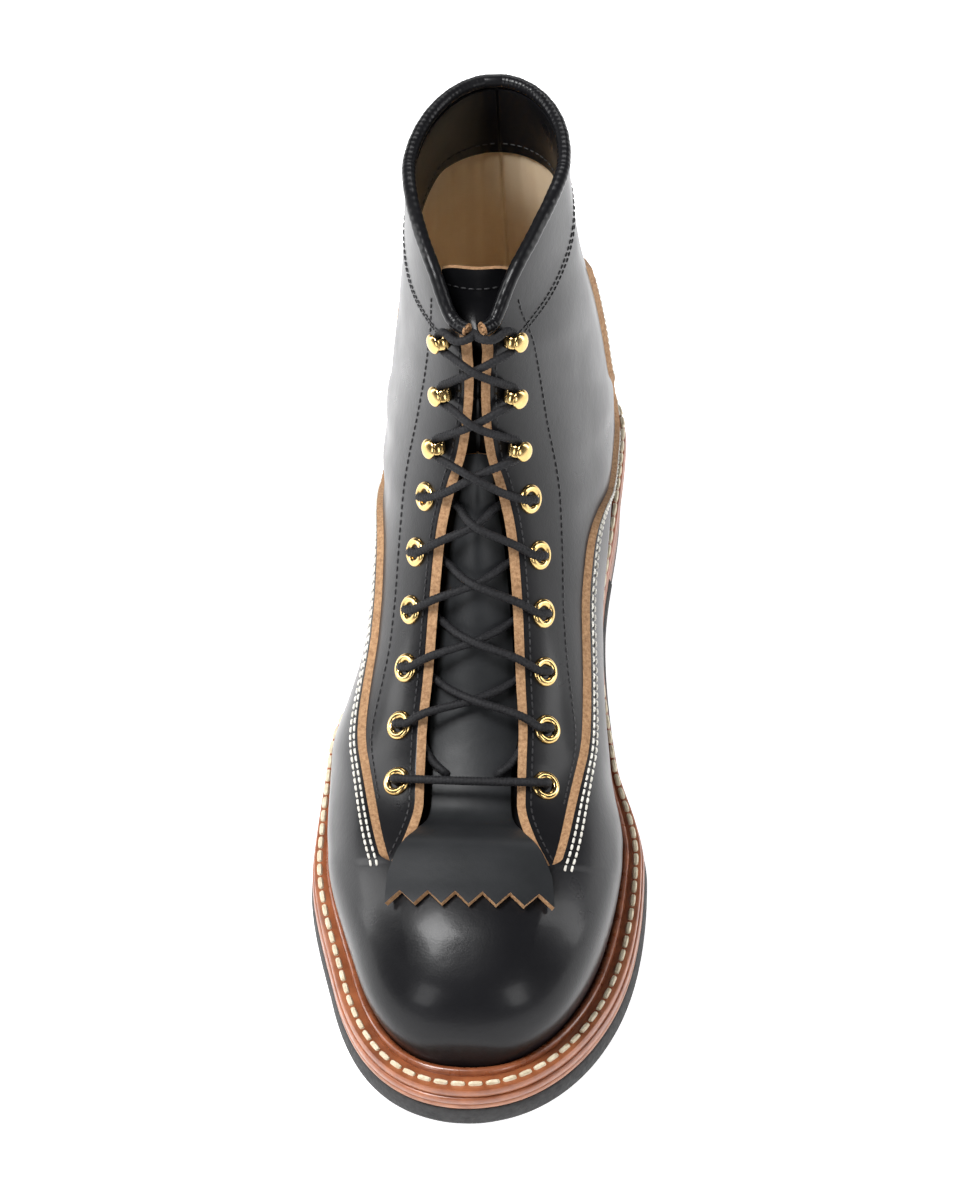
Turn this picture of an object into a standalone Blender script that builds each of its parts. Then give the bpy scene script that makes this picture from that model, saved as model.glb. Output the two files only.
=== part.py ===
"""Logger boot, right foot: a lace-up leather boot on a stacked heel, with a notched kiltie under its laces.

Metres, +Z up. The toe points to -Y and +X is the medial side. The origin is the centre of the heel's
tread face, on the floor. A place along the boot is a run, the distance back from the sole's toe tip.
The upper is a fan of sections: each section is a flat curve from a point of the top line (toe, instep,
front of the shaft) to a point of the bottom line (feather edge, then the back of the heel and shaft).
"""

import math

import bmesh
import bpy
import numpy as np
from mathutils.bvhtree import BVHTree

# Driving sizes of the sole, in metres
SOLE_LENGTH = 0.303
SOLE_BALL_WIDTH = 0.1125
HEEL_HEIGHT = 0.041
TOE_SPRING = 0.0105
OUTSOLE_THICKNESS = 0.0078
OUTSOLE_WAIST_THICKNESS = 0.0042
MIDSOLE_THICKNESS = 0.0056
WELT_THICKNESS = 0.0034
BEAD_HEIGHT = 0.0024
BEAD_WIDTH = 0.0027
TOP_LIFT_THICKNESS = 0.0075
INSOLE_THICKNESS = 0.0032
HEEL_SEAT_LENGTH = 0.089
HEEL_TREAD_LENGTH = 0.068
HEEL_BACK_RAKE = 0.008
HEEL_SIDE_RAKE = 0.0022
OUTSOLE_FLARE = 0.0017
GAP = 0.0003

# Driving sizes of the upper, in metres
BOOT_HEIGHT = 0.200
LEATHER = 0.0022
OVERLAY_STEP = 0.0019
TONGUE_THICKNESS = 0.0022
KILTIE_THICKNESS = 0.0022
BINDING_RADIUS = 0.0023
ROW_SPACING = 0.0194
EYELET_ROWS = 6
EYELET_SETBACK = 0.0088
EYELET_RADIUS = 0.0049
EYELET_HOLE_RADIUS = 0.0023
EYELET_BARREL_WALL = 0.0006
EYELET_FLANGE = 0.0010
EYELET_CLINCH_RADIUS = 0.0035
EYELET_CLINCH = 0.0003
HOOK_ROWS = 3
HOOK_SETBACK = 0.0078
HOOK_BUTTON_RADIUS = 0.0033
HOOK_NECK_HALF_WIDTH = 0.0018
HOOK_PLATE = 0.0009
LACE_RADIUS = 0.0014

# Where the origin lies along the boot
HEEL_CENTRE_RUN = SOLE_LENGTH - HEEL_BACK_RAKE - HEEL_TREAD_LENGTH / 2

# Mesh fineness
OUTLINE_SAMPLES = 400
HEEL_POINTS = 15
CORD_SIDES = 6
EYELET_SIDES = 8
TONGUE_COLUMNS = 9
CENTRE_COLUMNS, FACING_COLUMNS, SIDE_COLUMNS = 4, 3, 8

# The last's bottom in plan. Columns: share of the feather line's length, then how far the lateral and
# medial edges stand from the boot's middle line, as shares of the sole's ball width. The round ends
# come from formulas.
LAST_PLAN = (
    ("toe", 0.00, 0.349, 0.382),
    ("toe box", 0.14, 0.353, 0.409),
    ("ball", 0.32, 0.418, 0.417),
    ("ball back", 0.46, 0.422, 0.337),
    ("waist", 0.62, 0.302, 0.295),
    ("heel front", 0.76, 0.305, 0.330),
    ("heel", 0.88, 0.322, 0.345),
    ("back", 1.00, 0.322, 0.343),
)
TOE_ROUND_SHARE, TOE_ROUND_POWER = 0.32, 2.25
HEEL_ROUND_SHARE, HEEL_ROUND_POWER = 0.115, 2.2

# How far the welt stands out from the feather line. Columns: share of the length, margin in metres.
WELT_MARGIN = (
    ("toe", 0.00, 0.0105),
    ("toe box", 0.18, 0.0100),
    ("ball", 0.38, 0.0080),
    ("waist", 0.62, 0.0044),
    ("heel", 0.80, 0.0038),
    ("back", 1.00, 0.0036),
)
TOE_MARGIN = WELT_MARGIN[0][2]
HEEL_MARGIN = WELT_MARGIN[-1][2]

# The midsole's underside in side view. Columns: share of the sole's length, share of the toe spring,
# share of the heel's height.
SOLE_PROFILE = (
    ("tip", 0.00, 1.00, 0.00),
    ("toe", 0.10, 0.38, 0.00),
    ("tread front", 0.22, 0.00, 0.00),
    ("tread back", 0.42, 0.00, 0.00),
    ("waist front", 0.52, 0.00, 0.15),
    ("waist", 0.62, 0.00, 0.56),
    ("waist back", 0.70, 0.00, 0.82),
    ("seat front", 0.77, 0.00, 0.94),
    ("seat", 0.85, 0.00, 0.98),
    ("back", 1.00, 0.00, 1.00),
)

# The upper's sections. Columns: name, place in the fan, share of the feather line (1 at the heel's back),
# height up the back as a share of the shaft, top line run as a share of the sole's length, top line
# height as a share of the boot's height, bulge beyond the feather line and full half width as shares of
# the ball width, place of the widest point, roundness of the top and its centre shift.
SECTIONS = (
    # name, place, foot, back, top run, top height, bulge, half, widest, round, shift
    ("toe tip", 0.00, 0.00, 0.00, 0.0347, 0.142, 0.000, 0.430, 0.50, 2.00, 0.016),
    ("toe wall", 0.05, 0.06, 0.00, 0.0400, 0.205, 0.006, 0.430, 0.55, 2.10, 0.018),
    ("toe front", 0.10, 0.12, 0.00, 0.0620, 0.262, 0.010, 0.430, 0.60, 2.20, 0.024),
    ("toe box", 0.18, 0.20, 0.00, 0.1150, 0.308, 0.014, 0.430, 0.64, 2.30, 0.028),
    ("vamp", 0.28, 0.31, 0.00, 0.2000, 0.330, 0.020, 0.430, 0.66, 2.20, 0.018),
    ("ball", 0.37, 0.41, 0.00, 0.2900, 0.348, 0.036, 0.430, 0.68, 2.10, 0.003),
    ("instep", 0.46, 0.52, 0.00, 0.3800, 0.418, 0.050, 0.405, 0.70, 2.00, 0.000),
    ("waist", 0.55, 0.64, 0.00, 0.4650, 0.530, 0.060, 0.340, 0.70, 1.90, -0.002),
    ("bend", 0.63, 0.76, 0.00, 0.5290, 0.642, 0.060, 0.345, 0.68, 1.80, -0.004),
    ("heel front", 0.71, 0.89, 0.00, 0.5690, 0.740, 0.060, 0.350, 0.64, 1.70, -0.002),
    ("heel back", 0.79, 1.00, 0.00, 0.5960, 0.838, 0.060, 0.336, 0.60, 1.60, 0.003),
    ("counter", 0.85, 1.00, 0.26, 0.6090, 0.893, 0.060, 0.306, 0.58, 1.55, 0.004),
    ("ankle", 0.92, 1.00, 0.62, 0.6190, 0.944, 0.060, 0.262, 0.58, 1.50, -0.010),
    ("collar", 1.00, 1.00, 1.00, 0.6310, 0.991, 0.060, 0.237, 0.58, 1.50, -0.013),
)
LOWER_SWEEP = math.radians(56)

# The back of the boot in side view. Columns: share of the height from the feather line to the collar,
# distance of the leather in front of the sole's back edge, in metres.
BACK_CURVE = (
    ("seat", 0.00, 0.0036),
    ("counter", 0.17, 0.0005),
    ("counter top", 0.40, 0.0045),
    ("achilles", 0.65, 0.0112),
    ("collar", 1.00, 0.0140),
)

# The facings' edges. Columns: place in the fan, half the gap between the edges, in metres.
THROAT = (
    ("corner", 0.285, 0.0242),
    ("flare", 0.327, 0.0186),
    ("first eyelet", 0.365, 0.0158),
    ("second eyelet", 0.430, 0.0158),
    ("third eyelet", 0.485, 0.0145),
    ("fourth eyelet", 0.550, 0.0130),
    ("fifth eyelet", 0.610, 0.0108),
    ("sixth eyelet", 0.657, 0.0074),
    ("first hook", 0.697, 0.0040),
    ("second hook", 0.785, 0.0018),
    ("collar", 1.000, 0.0018),
)
THROAT_PLACE = THROAT[0][1]

# The collar's edge dips towards the throat. Columns: share round the section, drop in place.
COLLAR_DIP = (
    ("throat", 0.03, 0.120),
    ("flank", 0.12, 0.100),
    ("flank top", 0.21, 0.030),
    ("side", 0.30, 0.006),
    ("level", 0.38, 0.000),
)
DIP_START = 0.80
COLLAR_SIDE = 0.30

# The vamp's and counter's upper edge. Columns: place in the fan, share round the section.
OVERLAY_EDGE = (
    ("corner", 0.285, 0.166),
    ("first eyelet", 0.360, 0.214),
    ("second eyelet", 0.440, 0.286),
    ("third eyelet", 0.500, 0.326),
    ("instep", 0.570, 0.334),
    ("vamp back", 0.625, 0.410),
    ("joint front", 0.655, 0.600),
    ("joint", 0.690, 0.720),
    ("joint back", 0.720, 0.700),
    ("counter front", 0.790, 0.545),
    ("counter top", 0.900, 0.560),
    ("collar", 1.000, 0.560),
)
COUNTER_PLACE = 0.895
STEP_RUN = 0.004
LIFT_FADE = 0.20
FIRST_EYELET_PLACE = 0.384

# The kiltie. Columns: place in the fan, half width in metres, how far it has sunk from on top of the vamp
# to under the facings.
KILTIE = (
    ("corner row", 0.266, 0.0250, 0.0),
    ("throat", 0.292, 0.0226, 0.0),
    ("flare", 0.330, 0.0174, 0.40),
    ("first eyelet", 0.372, 0.0148, 1.0),
    ("bar", 0.400, 0.0150, 1.0),
    ("second eyelet", 0.440, 0.0176, 1.0),
    ("third eyelet", 0.497, 0.0164, 1.0),
    ("fifth eyelet", 0.600, 0.0128, 1.0),
    ("sixth eyelet", 0.651, 0.0095, 1.0),
    ("end", 0.690, 0.0085, 1.0),
)
KILTIE_TEETH = 7
KILTIE_TIP_PLACE, KILTIE_NOTCH_PLACE = 0.226, 0.243
KILTIE_TEETH_HALF = 0.0254
KILTIE_SLOT_PLACE, KILTIE_SLOT_X = 0.398, 0.0098

# The tongue. Columns: place in the fan, half width in metres.
TONGUE = (
    ("under the vamp", 0.262, 0.0235),
    ("first eyelet", 0.384, 0.0270),
    ("fourth eyelet", 0.550, 0.0260),
    ("first hook", 0.700, 0.0205),
    ("third hook", 0.860, 0.0165),
    ("top", 1.000, 0.0158),
)
TONGUE_DROP = 0.006
TONGUE_BOW = 0.003

# Places of the upper's rows. The welt, midsole and insole have their stations at the same feet.
TOE_ROWS = (0.0, 0.020, 0.042, 0.066, 0.092, 0.122, 0.156, 0.195, 0.240)
FACING_ROWS = (0.320, 0.360, 0.400, 0.440, 0.480, 0.520, 0.560, 0.600, 0.628)
HEEL_ROWS = (0.652, 0.674, 0.694, 0.713, 0.732, 0.752, 0.771)
SHAFT_ROWS = (0.806, 0.826, 0.860)
COLLAR_ROWS = (0.930, 0.965, 1.0)


def smooth_curve(places, values):
    """A smooth function through the points: a cubic between each two, with slopes limited to avoid waves."""
    x = np.array(places, float)
    y = np.array(values, float)
    rise = np.diff(y) / np.diff(x)
    slope = np.concatenate([[rise[0]], (rise[:-1] + rise[1:]) / 2, [rise[-1]]])
    turning = np.concatenate([[False], rise[:-1] * rise[1:] <= 0, [False]])
    slope[turning] = 0.0
    limit = 3 * np.minimum(np.abs(np.append(rise, rise[-1])), np.abs(np.insert(rise, 0, rise[0])))
    slope = np.clip(slope, -limit, limit)

    def value(at):
        at = np.clip(np.asarray(at, float), x[0], x[-1])
        i = np.clip(np.searchsorted(x, at, side="right") - 1, 0, len(x) - 2)
        width = x[i + 1] - x[i]
        u = (at - x[i]) / width
        return (
            y[i] * (1 + 2 * u) * (1 - u) ** 2
            + y[i + 1] * u * u * (3 - 2 * u)
            + slope[i] * width * u * (1 - u) ** 2
            - slope[i + 1] * width * u * u * (1 - u)
        )

    return value


def column(table, place, value, scale=1.0):
    """The smooth function of one column of a table over another."""
    return smooth_curve([row[place] for row in table], [row[value] * scale for row in table])


def smoothstep(low, high, at):
    u = np.clip((np.asarray(at, float) - low) / (high - low), 0, 1)
    return u * u * (3 - 2 * u)


def to_y(run):
    return run - HEEL_CENTRE_RUN


# The feather line in plan: where the upper meets the welt
FEATHER_LENGTH = SOLE_LENGTH - TOE_MARGIN - HEEL_MARGIN
plan_lateral = column(LAST_PLAN, 1, 2, SOLE_BALL_WIDTH)
plan_medial = column(LAST_PLAN, 1, 3, SOLE_BALL_WIDTH)
welt_margin = column(WELT_MARGIN, 1, 2)


def plan_half(share):
    return (plan_lateral(share) + plan_medial(share)) / 2


def plan_centre(share):
    return (plan_medial(share) - plan_lateral(share)) / 2


def feather_half(share):
    """Half width of the feather line at a share of its length, rounded off at the toe and heel."""
    share = np.clip(np.asarray(share, float), 0, 1)
    toe = np.clip(1 - share / TOE_ROUND_SHARE, 0, 1)
    heel = np.clip((share - 1 + HEEL_ROUND_SHARE) / HEEL_ROUND_SHARE, 0, 1)
    ends = (1 - toe**TOE_ROUND_POWER) ** (1 / TOE_ROUND_POWER)
    ends = ends * (1 - heel**HEEL_ROUND_POWER) ** (1 / HEEL_ROUND_POWER)
    return plan_half(share) * ends


def feather_shares():
    """Shares of the feather line's length at equal steps of arc, from toe to heel."""
    angle = np.linspace(0, math.pi, OUTLINE_SAMPLES)
    share = (1 - np.cos(angle)) / 2
    x = feather_half(share)
    y = share * FEATHER_LENGTH
    arc = np.concatenate([[0], np.cumsum(np.hypot(np.diff(x), np.diff(y)))])
    return arc / arc[-1], share


ARC_SHARES, LENGTH_SHARES = feather_shares()


def feather_at(arc):
    """Run, centre and half width of the feather line at a share of the arc from toe to heel."""
    share = np.interp(arc, ARC_SHARES, LENGTH_SHARES)
    return TOE_MARGIN + share * FEATHER_LENGTH, plan_centre(share), feather_half(share)


def feather_slope(arc):
    """How fast the feather line closes in towards the heel's back, as width per run."""
    step = 1e-3
    share = np.clip(np.interp(arc, ARC_SHARES, LENGTH_SHARES), 0.5, 1 - step)
    return np.maximum(feather_half(share - step) - feather_half(share + step), 0) / (2 * step * FEATHER_LENGTH)


# The sole's levels
spring_part = column(SOLE_PROFILE, 1, 2, TOE_SPRING)
heel_part = column(SOLE_PROFILE, 1, 3, HEEL_HEIGHT - OUTSOLE_THICKNESS)


def midsole_under(run):
    """Height of the midsole's underside."""
    share = np.clip(np.asarray(run, float) / SOLE_LENGTH, 0, 1)
    return OUTSOLE_THICKNESS + GAP + spring_part(share) + heel_part(share)


def midsole_top(run):
    return midsole_under(run) + MIDSOLE_THICKNESS


def feather_rise(run):
    """Height at which the upper starts, on the midsole."""
    return midsole_top(run) + GAP


# The upper's section functions
fan_foot = column(SECTIONS, 1, 2)
fan_back = column(SECTIONS, 1, 3)
fan_top_run = column(SECTIONS, 1, 4, SOLE_LENGTH)
fan_top_rise = column(SECTIONS, 1, 5, BOOT_HEIGHT)
fan_bulge = column(SECTIONS, 1, 6, SOLE_BALL_WIDTH)
fan_half = column(SECTIONS, 1, 7, SOLE_BALL_WIDTH)
fan_widest = column(SECTIONS, 1, 8)
fan_round = column(SECTIONS, 1, 9)
fan_shift = column(SECTIONS, 1, 10, SOLE_BALL_WIDTH)
back_inset = column(BACK_CURVE, 1, 2)
throat_gap = column(THROAT, 1, 2)
overlay_edge = column(OVERLAY_EDGE, 1, 2)
collar_dip = column(COLLAR_DIP, 1, 2)
HEEL_BACK_PLACE = next(row[1] for row in SECTIONS if row[2] >= 1)
BALL_PLACE = 0.42
HEEL_FRONT_PLACE = 0.68


def section_ends(place):
    """The ends of a section, and the feather line's half width and centre at its foot."""
    foot_run, centre, foot_half = feather_at(fan_foot(place))
    seat = feather_rise(SOLE_LENGTH - HEEL_MARGIN)
    up = fan_back(place)
    back_run = SOLE_LENGTH - back_inset(up)
    back_rise = seat + up * (BOOT_HEIGHT - 0.001 - seat)
    on_back = place > HEEL_BACK_PLACE
    bottom_run = np.where(on_back, back_run, foot_run)
    bottom_rise = np.where(on_back, back_rise, feather_rise(foot_run))
    tip_rise = feather_rise(TOE_MARGIN)
    lift = 1 - smoothstep(0, 0.05, place)
    top_run = fan_top_run(place)
    top_rise = fan_top_rise(place)
    top_run = top_run + lift * (TOE_MARGIN - fan_top_run(0.0))
    top_rise = top_rise + lift * (tip_rise - fan_top_rise(0.0))
    return top_run, top_rise, bottom_run, bottom_rise, foot_half, centre


def half_width(place, foot_half):
    """The section's widest half width."""
    blend = smoothstep(BALL_PLACE, HEEL_FRONT_PLACE, place)
    grow = smoothstep(0, 0.1, place)
    return (1 - blend) * (foot_half + fan_bulge(place) * grow) + blend * fan_half(place)


def lower_sweep(place, top_run, low_run, wide, foot_half, widest):
    """The angle that the lower half of a section turns through, so that the wall leaves the feather line
    upright round the heel."""
    slope = feather_slope(fan_foot(place)) * (low_run - top_run)
    ratio = slope * (1 - widest) / np.maximum(wide - foot_half, 1e-4)
    turned = np.arccos(1 / np.maximum(ratio - 1, 1 + 1e-9))
    turned = np.clip(turned, LOWER_SWEEP, math.pi / 2)
    return turned + (math.pi / 2 - turned) * smoothstep(HEEL_BACK_PLACE - 0.04, HEEL_BACK_PLACE, place)


def surface(place, around, side):
    """A point of the upper's outer surface. around runs from 0 at the top line to 1 at the feather line or
    the back; side is -1 on the lateral side and 1 on the medial side."""
    place, around, side = np.broadcast_arrays(
        np.asarray(place, float), np.asarray(around, float), np.asarray(side, float)
    )
    top_run, top_rise, low_run, low_rise, foot_half, low_centre = section_ends(place)
    wide = half_width(place, foot_half)
    widest = fan_widest(place)
    power = 2 / fan_round(place)
    angle = np.clip(around, 0, 0.5) * math.pi
    upper_x = wide * np.sin(angle) ** power
    upper_q = widest * (1 - np.clip(np.cos(angle), 0, 1) ** power)
    sweep = lower_sweep(place, top_run, low_run, wide, foot_half, widest)
    turn = (np.clip(around, 0.5, 1) * 2 - 1) * sweep
    end_cos = np.cos(sweep)
    core = (foot_half - wide * end_cos) / (1 - end_cos)
    lower_x = core + (wide - core) * np.cos(turn)
    lower_q = widest + (1 - widest) * np.sin(turn) / np.sin(sweep)
    low = around > 0.5
    x = np.where(low, lower_x, upper_x)
    q = np.where(low, lower_q, upper_q)
    centre = fan_shift(place) + (low_centre - fan_shift(place)) * smoothstep(0, 1, q)
    run = top_run + (low_run - top_run) * q
    rise = top_rise + (low_rise - top_rise) * q
    return np.stack([centre + side * np.maximum(x, 0), to_y(run), rise], axis=-1)


def surface_normal(place, around, side):
    """The outward normal of the upper's surface."""
    step = 2e-3
    place, around, side = np.broadcast_arrays(
        np.asarray(place, float), np.asarray(around, float), np.asarray(side, float)
    )
    p0, p1 = np.clip(place - step, 0.004, 1), np.clip(place + step, 0.008, 1)
    a0, a1 = np.clip(around - step, 0.002, 1), np.clip(around + step, 0.004, 1)
    along = surface(p1, around, side) - surface(p0, around, side)
    down = surface(place.clip(0.006, 1), a1, side) - surface(place.clip(0.006, 1), a0, side)
    normal = -np.cross(along, down) * side[..., None]
    ridge = (around < 1e-6) | ((around > 1 - 1e-6) & (place > HEEL_BACK_PLACE - 1e-6))
    normal[..., 0] = np.where(ridge, 0, normal[..., 0])
    level = np.where(place <= HEEL_BACK_PLACE, 1 - smoothstep(0.80, 1.0, around), 1.0)
    normal[..., 2] = normal[..., 2] * level
    on_feather = (around > 1 - 1e-6) & (place < HEEL_BACK_PLACE - 1e-6)
    ahead, behind = surface(np.clip(place - 0.004, 0, 1), 1.0, side), surface(place + 0.004, 1.0, side)
    flat = np.stack([side * (behind - ahead)[..., 1], -side * (behind - ahead)[..., 0], 0 * place], axis=-1)
    normal = np.where(on_feather[..., None], flat, normal)
    length = np.linalg.norm(normal, axis=-1, keepdims=True)
    normal = normal / np.where(length == 0, 1, length)
    tip = place < 1e-6
    normal[tip] = (0, -1, 0)
    return normal


def offset_surface(place, around, side, out):
    out = np.asarray(out, float)
    return surface(place, around, side) + surface_normal(place, around, side) * out[..., None]


def around_at(place, distance):
    """How far round the section the surface is a given distance from its top line's middle plane."""
    foot_half = section_ends(np.asarray(place, float))[4]
    share = np.clip(distance / half_width(place, foot_half), 0, 1)
    return np.arcsin(share ** (fan_round(place) / 2)) / math.pi


# Mesh helpers


def new_object(name, vertices, faces, material):
    mesh = bpy.data.meshes.new(name)
    mesh.from_pydata([tuple(v) for v in vertices], [], faces)
    mesh.materials.append(material)
    made = bpy.data.objects.new(name, mesh)
    bpy.context.scene.collection.objects.link(made)
    work = bmesh.new()
    work.from_mesh(mesh)
    bmesh.ops.remove_doubles(work, verts=work.verts, dist=2e-6)
    bmesh.ops.recalc_face_normals(work, faces=work.faces)
    work.to_mesh(mesh)
    work.free()
    mesh.shade_smooth()
    mesh.set_sharp_from_angle(angle=math.radians(35))
    return made


def material(name, colour, roughness, metallic=0.0):
    made = bpy.data.materials.new(name)
    made.use_nodes = True
    shader = made.node_tree.nodes["Principled BSDF"]
    shader.inputs["Base Color"].default_value = (*colour, 1)
    shader.inputs["Roughness"].default_value = roughness
    shader.inputs["Metallic"].default_value = metallic
    return made


def shell(outer, inner, cells):
    """Closes two matching grids of points into one solid. cells says which squares of the grid exist."""
    index = {}
    points = []

    def vertex(kind, point):
        key = (kind, *(round(float(c) * 1e6) for c in point))
        if key not in index:
            index[key] = len(points)
            points.append(point)
        return index[key]

    rows, columns = outer.shape[:2]
    out = [[vertex("out", outer[i, j]) for j in range(columns)] for i in range(rows)]
    ins = [[vertex("in", inner[i, j]) for j in range(columns)] for i in range(rows)]
    partner = {out[i][j]: ins[i][j] for i in range(rows) for j in range(columns)}
    faces = []
    edges = {}
    for i in range(rows - 1):
        for j in range(columns - 1):
            if not cells(i, j):
                continue
            for grid, turn in ((out, 1), (ins, -1)):
                ring = [grid[i][j], grid[i][j + 1], grid[i + 1][j + 1], grid[i + 1][j]]
                ring = [v for k, v in enumerate(ring) if v != ring[k - 1]]
                if len(set(ring)) < 3:
                    continue
                faces.append(ring[::turn])
                if turn == 1:
                    for k, v in enumerate(ring):
                        edges.setdefault((v, ring[(k + 1) % len(ring)]), 0)
                        edges[(v, ring[(k + 1) % len(ring)])] += 1
    for a, b in edges:
        if (b, a) in edges:
            continue
        ring = [b, a, partner[a], partner[b]]
        ring = [v for k, v in enumerate(ring) if v != ring[k - 1]]
        faces.append(ring)
    return points, faces


def outline(out, shares):
    """Lateral and medial points in plan of the feather line, moved outwards by out(length share)."""
    fine = 1e-3
    lateral, medial = [], []
    for arc in shares:
        run, centre, half = feather_at(arc)
        before = feather_at(max(arc - fine, 0))
        after = feather_at(min(arc + fine, 1))
        share = (run - TOE_MARGIN) / FEATHER_LENGTH
        for side, found in ((-1, lateral), (1, medial)):
            tangent = np.array(
                [
                    after[1] + side * after[2] - before[1] - side * before[2],
                    after[0] - before[0],
                ]
            )
            if arc < fine or arc > 1 - fine:
                tangent = np.array([side * (1.0 if arc < fine else -1.0), 0.0])
            normal = np.array([side * tangent[1], -side * tangent[0]]) / np.hypot(*tangent)
            point = np.array([centre + side * half, run]) + normal * out(share)
            found.append(point)
    return np.array(lateral), np.array(medial)


def ring_of(lateral, medial):
    """One closed ring of plan points: toe tip, down the lateral side, heel back, up the medial side."""
    return np.concatenate([lateral, medial[-2:0:-1]])


def slab(name, levels, finish, shares, cut=False):
    """A solid with rings of points from bottom to top. levels holds (outwards offset, height function).
    cut ends it straight across at its last station."""
    count = len(shares)
    vertices, faces = [], []
    for out, height in levels:
        lateral, medial = outline(out, shares)
        ring = np.concatenate([lateral, medial[:0:-1]]) if cut else ring_of(lateral, medial)
        vertices.extend((x, to_y(run), float(height(run))) for x, run in ring)
    size = 2 * count - (1 if cut else 2)
    for level in range(len(levels) - 1):
        for k in range(size):
            a, b = level * size + k, level * size + (k + 1) % size
            faces.append([a, b, b + size, a + size])
    for level, turn in ((0, 1), (len(levels) - 1, -1)):
        base = level * size
        for k in range(count - 1):
            ring = [base + k, base + k + 1, base + (size - k - 1) % size, base + (size - k) % size]
            ring = list(dict.fromkeys(ring))
            faces.append(ring[::turn])
    return new_object(name, vertices, faces, finish)


def frame_at(place, x, side):
    """A place on the upper's surface: its centre, outward normal, direction away from the throat and
    direction up the throat."""
    around = around_at(place, x)
    centre = surface(place, around, side)
    normal = surface_normal(place, around, side)
    outward = surface(place, around + 0.01, side) - surface(place, around - 0.01, side)
    outward = outward - normal * (outward @ normal)
    outward = outward / np.linalg.norm(outward)
    upward = np.cross(normal, outward)
    return centre, normal, outward, upward * (1 if upward[2] > 0 else -1)


def tube(path, radius, sides=CORD_SIDES):
    """Points and faces of a round cord along a path, with closed ends."""
    path = np.array(path)
    points, faces = [], []
    across = None
    for k, place in enumerate(path):
        ahead = path[min(k + 1, len(path) - 1)] - path[max(k - 1, 0)]
        ahead = ahead / np.linalg.norm(ahead)
        if across is None:
            across = np.cross(ahead, (0.0, 0.0, 1.0))
        across = across - ahead * (across @ ahead)
        across = across / np.linalg.norm(across)
        third = np.cross(ahead, across)
        for turn in range(sides):
            angle = 2 * math.pi * turn / sides
            points.append(place + radius * (math.cos(angle) * across + math.sin(angle) * third))
    last = (len(path) - 1) * sides
    for k in range(len(path) - 1):
        for turn in range(sides):
            a, b = k * sides + turn, k * sides + (turn + 1) % sides
            faces.append([a, b, b + sides, a + sides])
    faces.append(list(range(sides))[::-1])
    faces.append(list(range(last, last + sides)))
    return points, faces


def smooth_path(points, turn=14.0, longest=0.014):
    """The path with its corners cut twice, without the points where it runs nearly straight."""
    points = np.array(points)
    for _ in range(2):
        first = points[:-1] * 0.75 + points[1:] * 0.25
        second = points[:-1] * 0.25 + points[1:] * 0.75
        cut = np.stack([first, second], axis=1).reshape(-1, 3)
        points = np.concatenate([points[:1], cut, points[-1:]])
    kept = [points[0]]
    heading = points[1] - points[0]
    for k in range(1, len(points) - 1):
        ahead = points[k + 1] - points[k]
        cosine = ahead @ heading / (np.linalg.norm(ahead) * np.linalg.norm(heading))
        far = np.linalg.norm(points[k] - kept[-1])
        if math.degrees(math.acos(min(cosine, 1.0))) > turn and far > 0.0009 or far > longest:
            kept.append(points[k])
            heading = ahead
    return kept + [points[-1]]


def triangulate(obj):
    work = bmesh.new()
    work.from_mesh(obj.data)
    bmesh.ops.triangulate(work, faces=work.faces)
    work.to_mesh(obj.data)
    work.free()


def boolean(target, other, operation):
    """Applies an exact Boolean and removes the other object."""
    change = target.modifiers.new(operation.lower(), "BOOLEAN")
    change.operation = operation
    change.solver = "EXACT"
    change.object = other
    graph = bpy.context.evaluated_depsgraph_get()
    result = bpy.data.meshes.new_from_object(target.evaluated_get(graph))
    target.modifiers.clear()
    target.data = result
    bpy.data.objects.remove(other)


# The sole


def stations():
    """Arc shares of the feather line at the feet of the upper's rows, from toe tip to heel back."""
    return [float(fan_foot(place)) for place in upper_rows() if place <= HEEL_BACK_PLACE]


def upper_rows():
    rows = TOE_ROWS + (THROAT_PLACE, THROAT_PLACE + STEP_RUN) + FACING_ROWS + HEEL_ROWS
    rows += (HEEL_BACK_PLACE,) + SHAFT_ROWS + (COUNTER_PLACE, COUNTER_PLACE + STEP_RUN) + COLLAR_ROWS
    return rows


def breast_station():
    """The last station in front of the heel's breast."""
    breast = SOLE_LENGTH - HEEL_SEAT_LENGTH - 0.0015
    return max(share for share in stations() if feather_at(share)[0] < breast)


def beyond_welt(extra):
    """An outline that stands out past the feather line by the welt's margin and some more."""
    return lambda share: welt_margin(share) + extra


def outsole_under(run):
    """Height of the tread: the outsole thins behind the tread, in the waist."""
    runs = {row[0]: row[1] * SOLE_LENGTH for row in SOLE_PROFILE}
    thin = smoothstep(runs["tread back"], runs["waist back"], run)
    thickness = OUTSOLE_THICKNESS + (OUTSOLE_WAIST_THICKNESS - OUTSOLE_THICKNESS) * thin
    return midsole_under(run) - GAP - thickness


def make_outsole(finish):
    """Rubber forefoot and waist, from the toe to the heel's breast, flared and chamfered at the tread."""
    shares = [share for share in stations() if share <= breast_station()]
    chamfer = 0.0011

    def between(share):
        return lambda run: outsole_under(run) * (1 - share) + (midsole_under(run) - GAP) * share

    levels = [
        (beyond_welt(OUTSOLE_FLARE - chamfer), between(0.0)),
        (beyond_welt(OUTSOLE_FLARE), between(0.16)),
        (beyond_welt(0.0006), between(1.0)),
    ]
    return slab("outsole", levels, finish, shares, cut=True)


def make_midsole(finish):
    levels = [
        (beyond_welt(0.0004), midsole_under),
        (beyond_welt(0.0007), lambda run: midsole_under(run) + 0.4 * MIDSOLE_THICKNESS),
        (beyond_welt(0.0002), midsole_top),
    ]
    return slab("midsole", levels, finish, stations())


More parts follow.
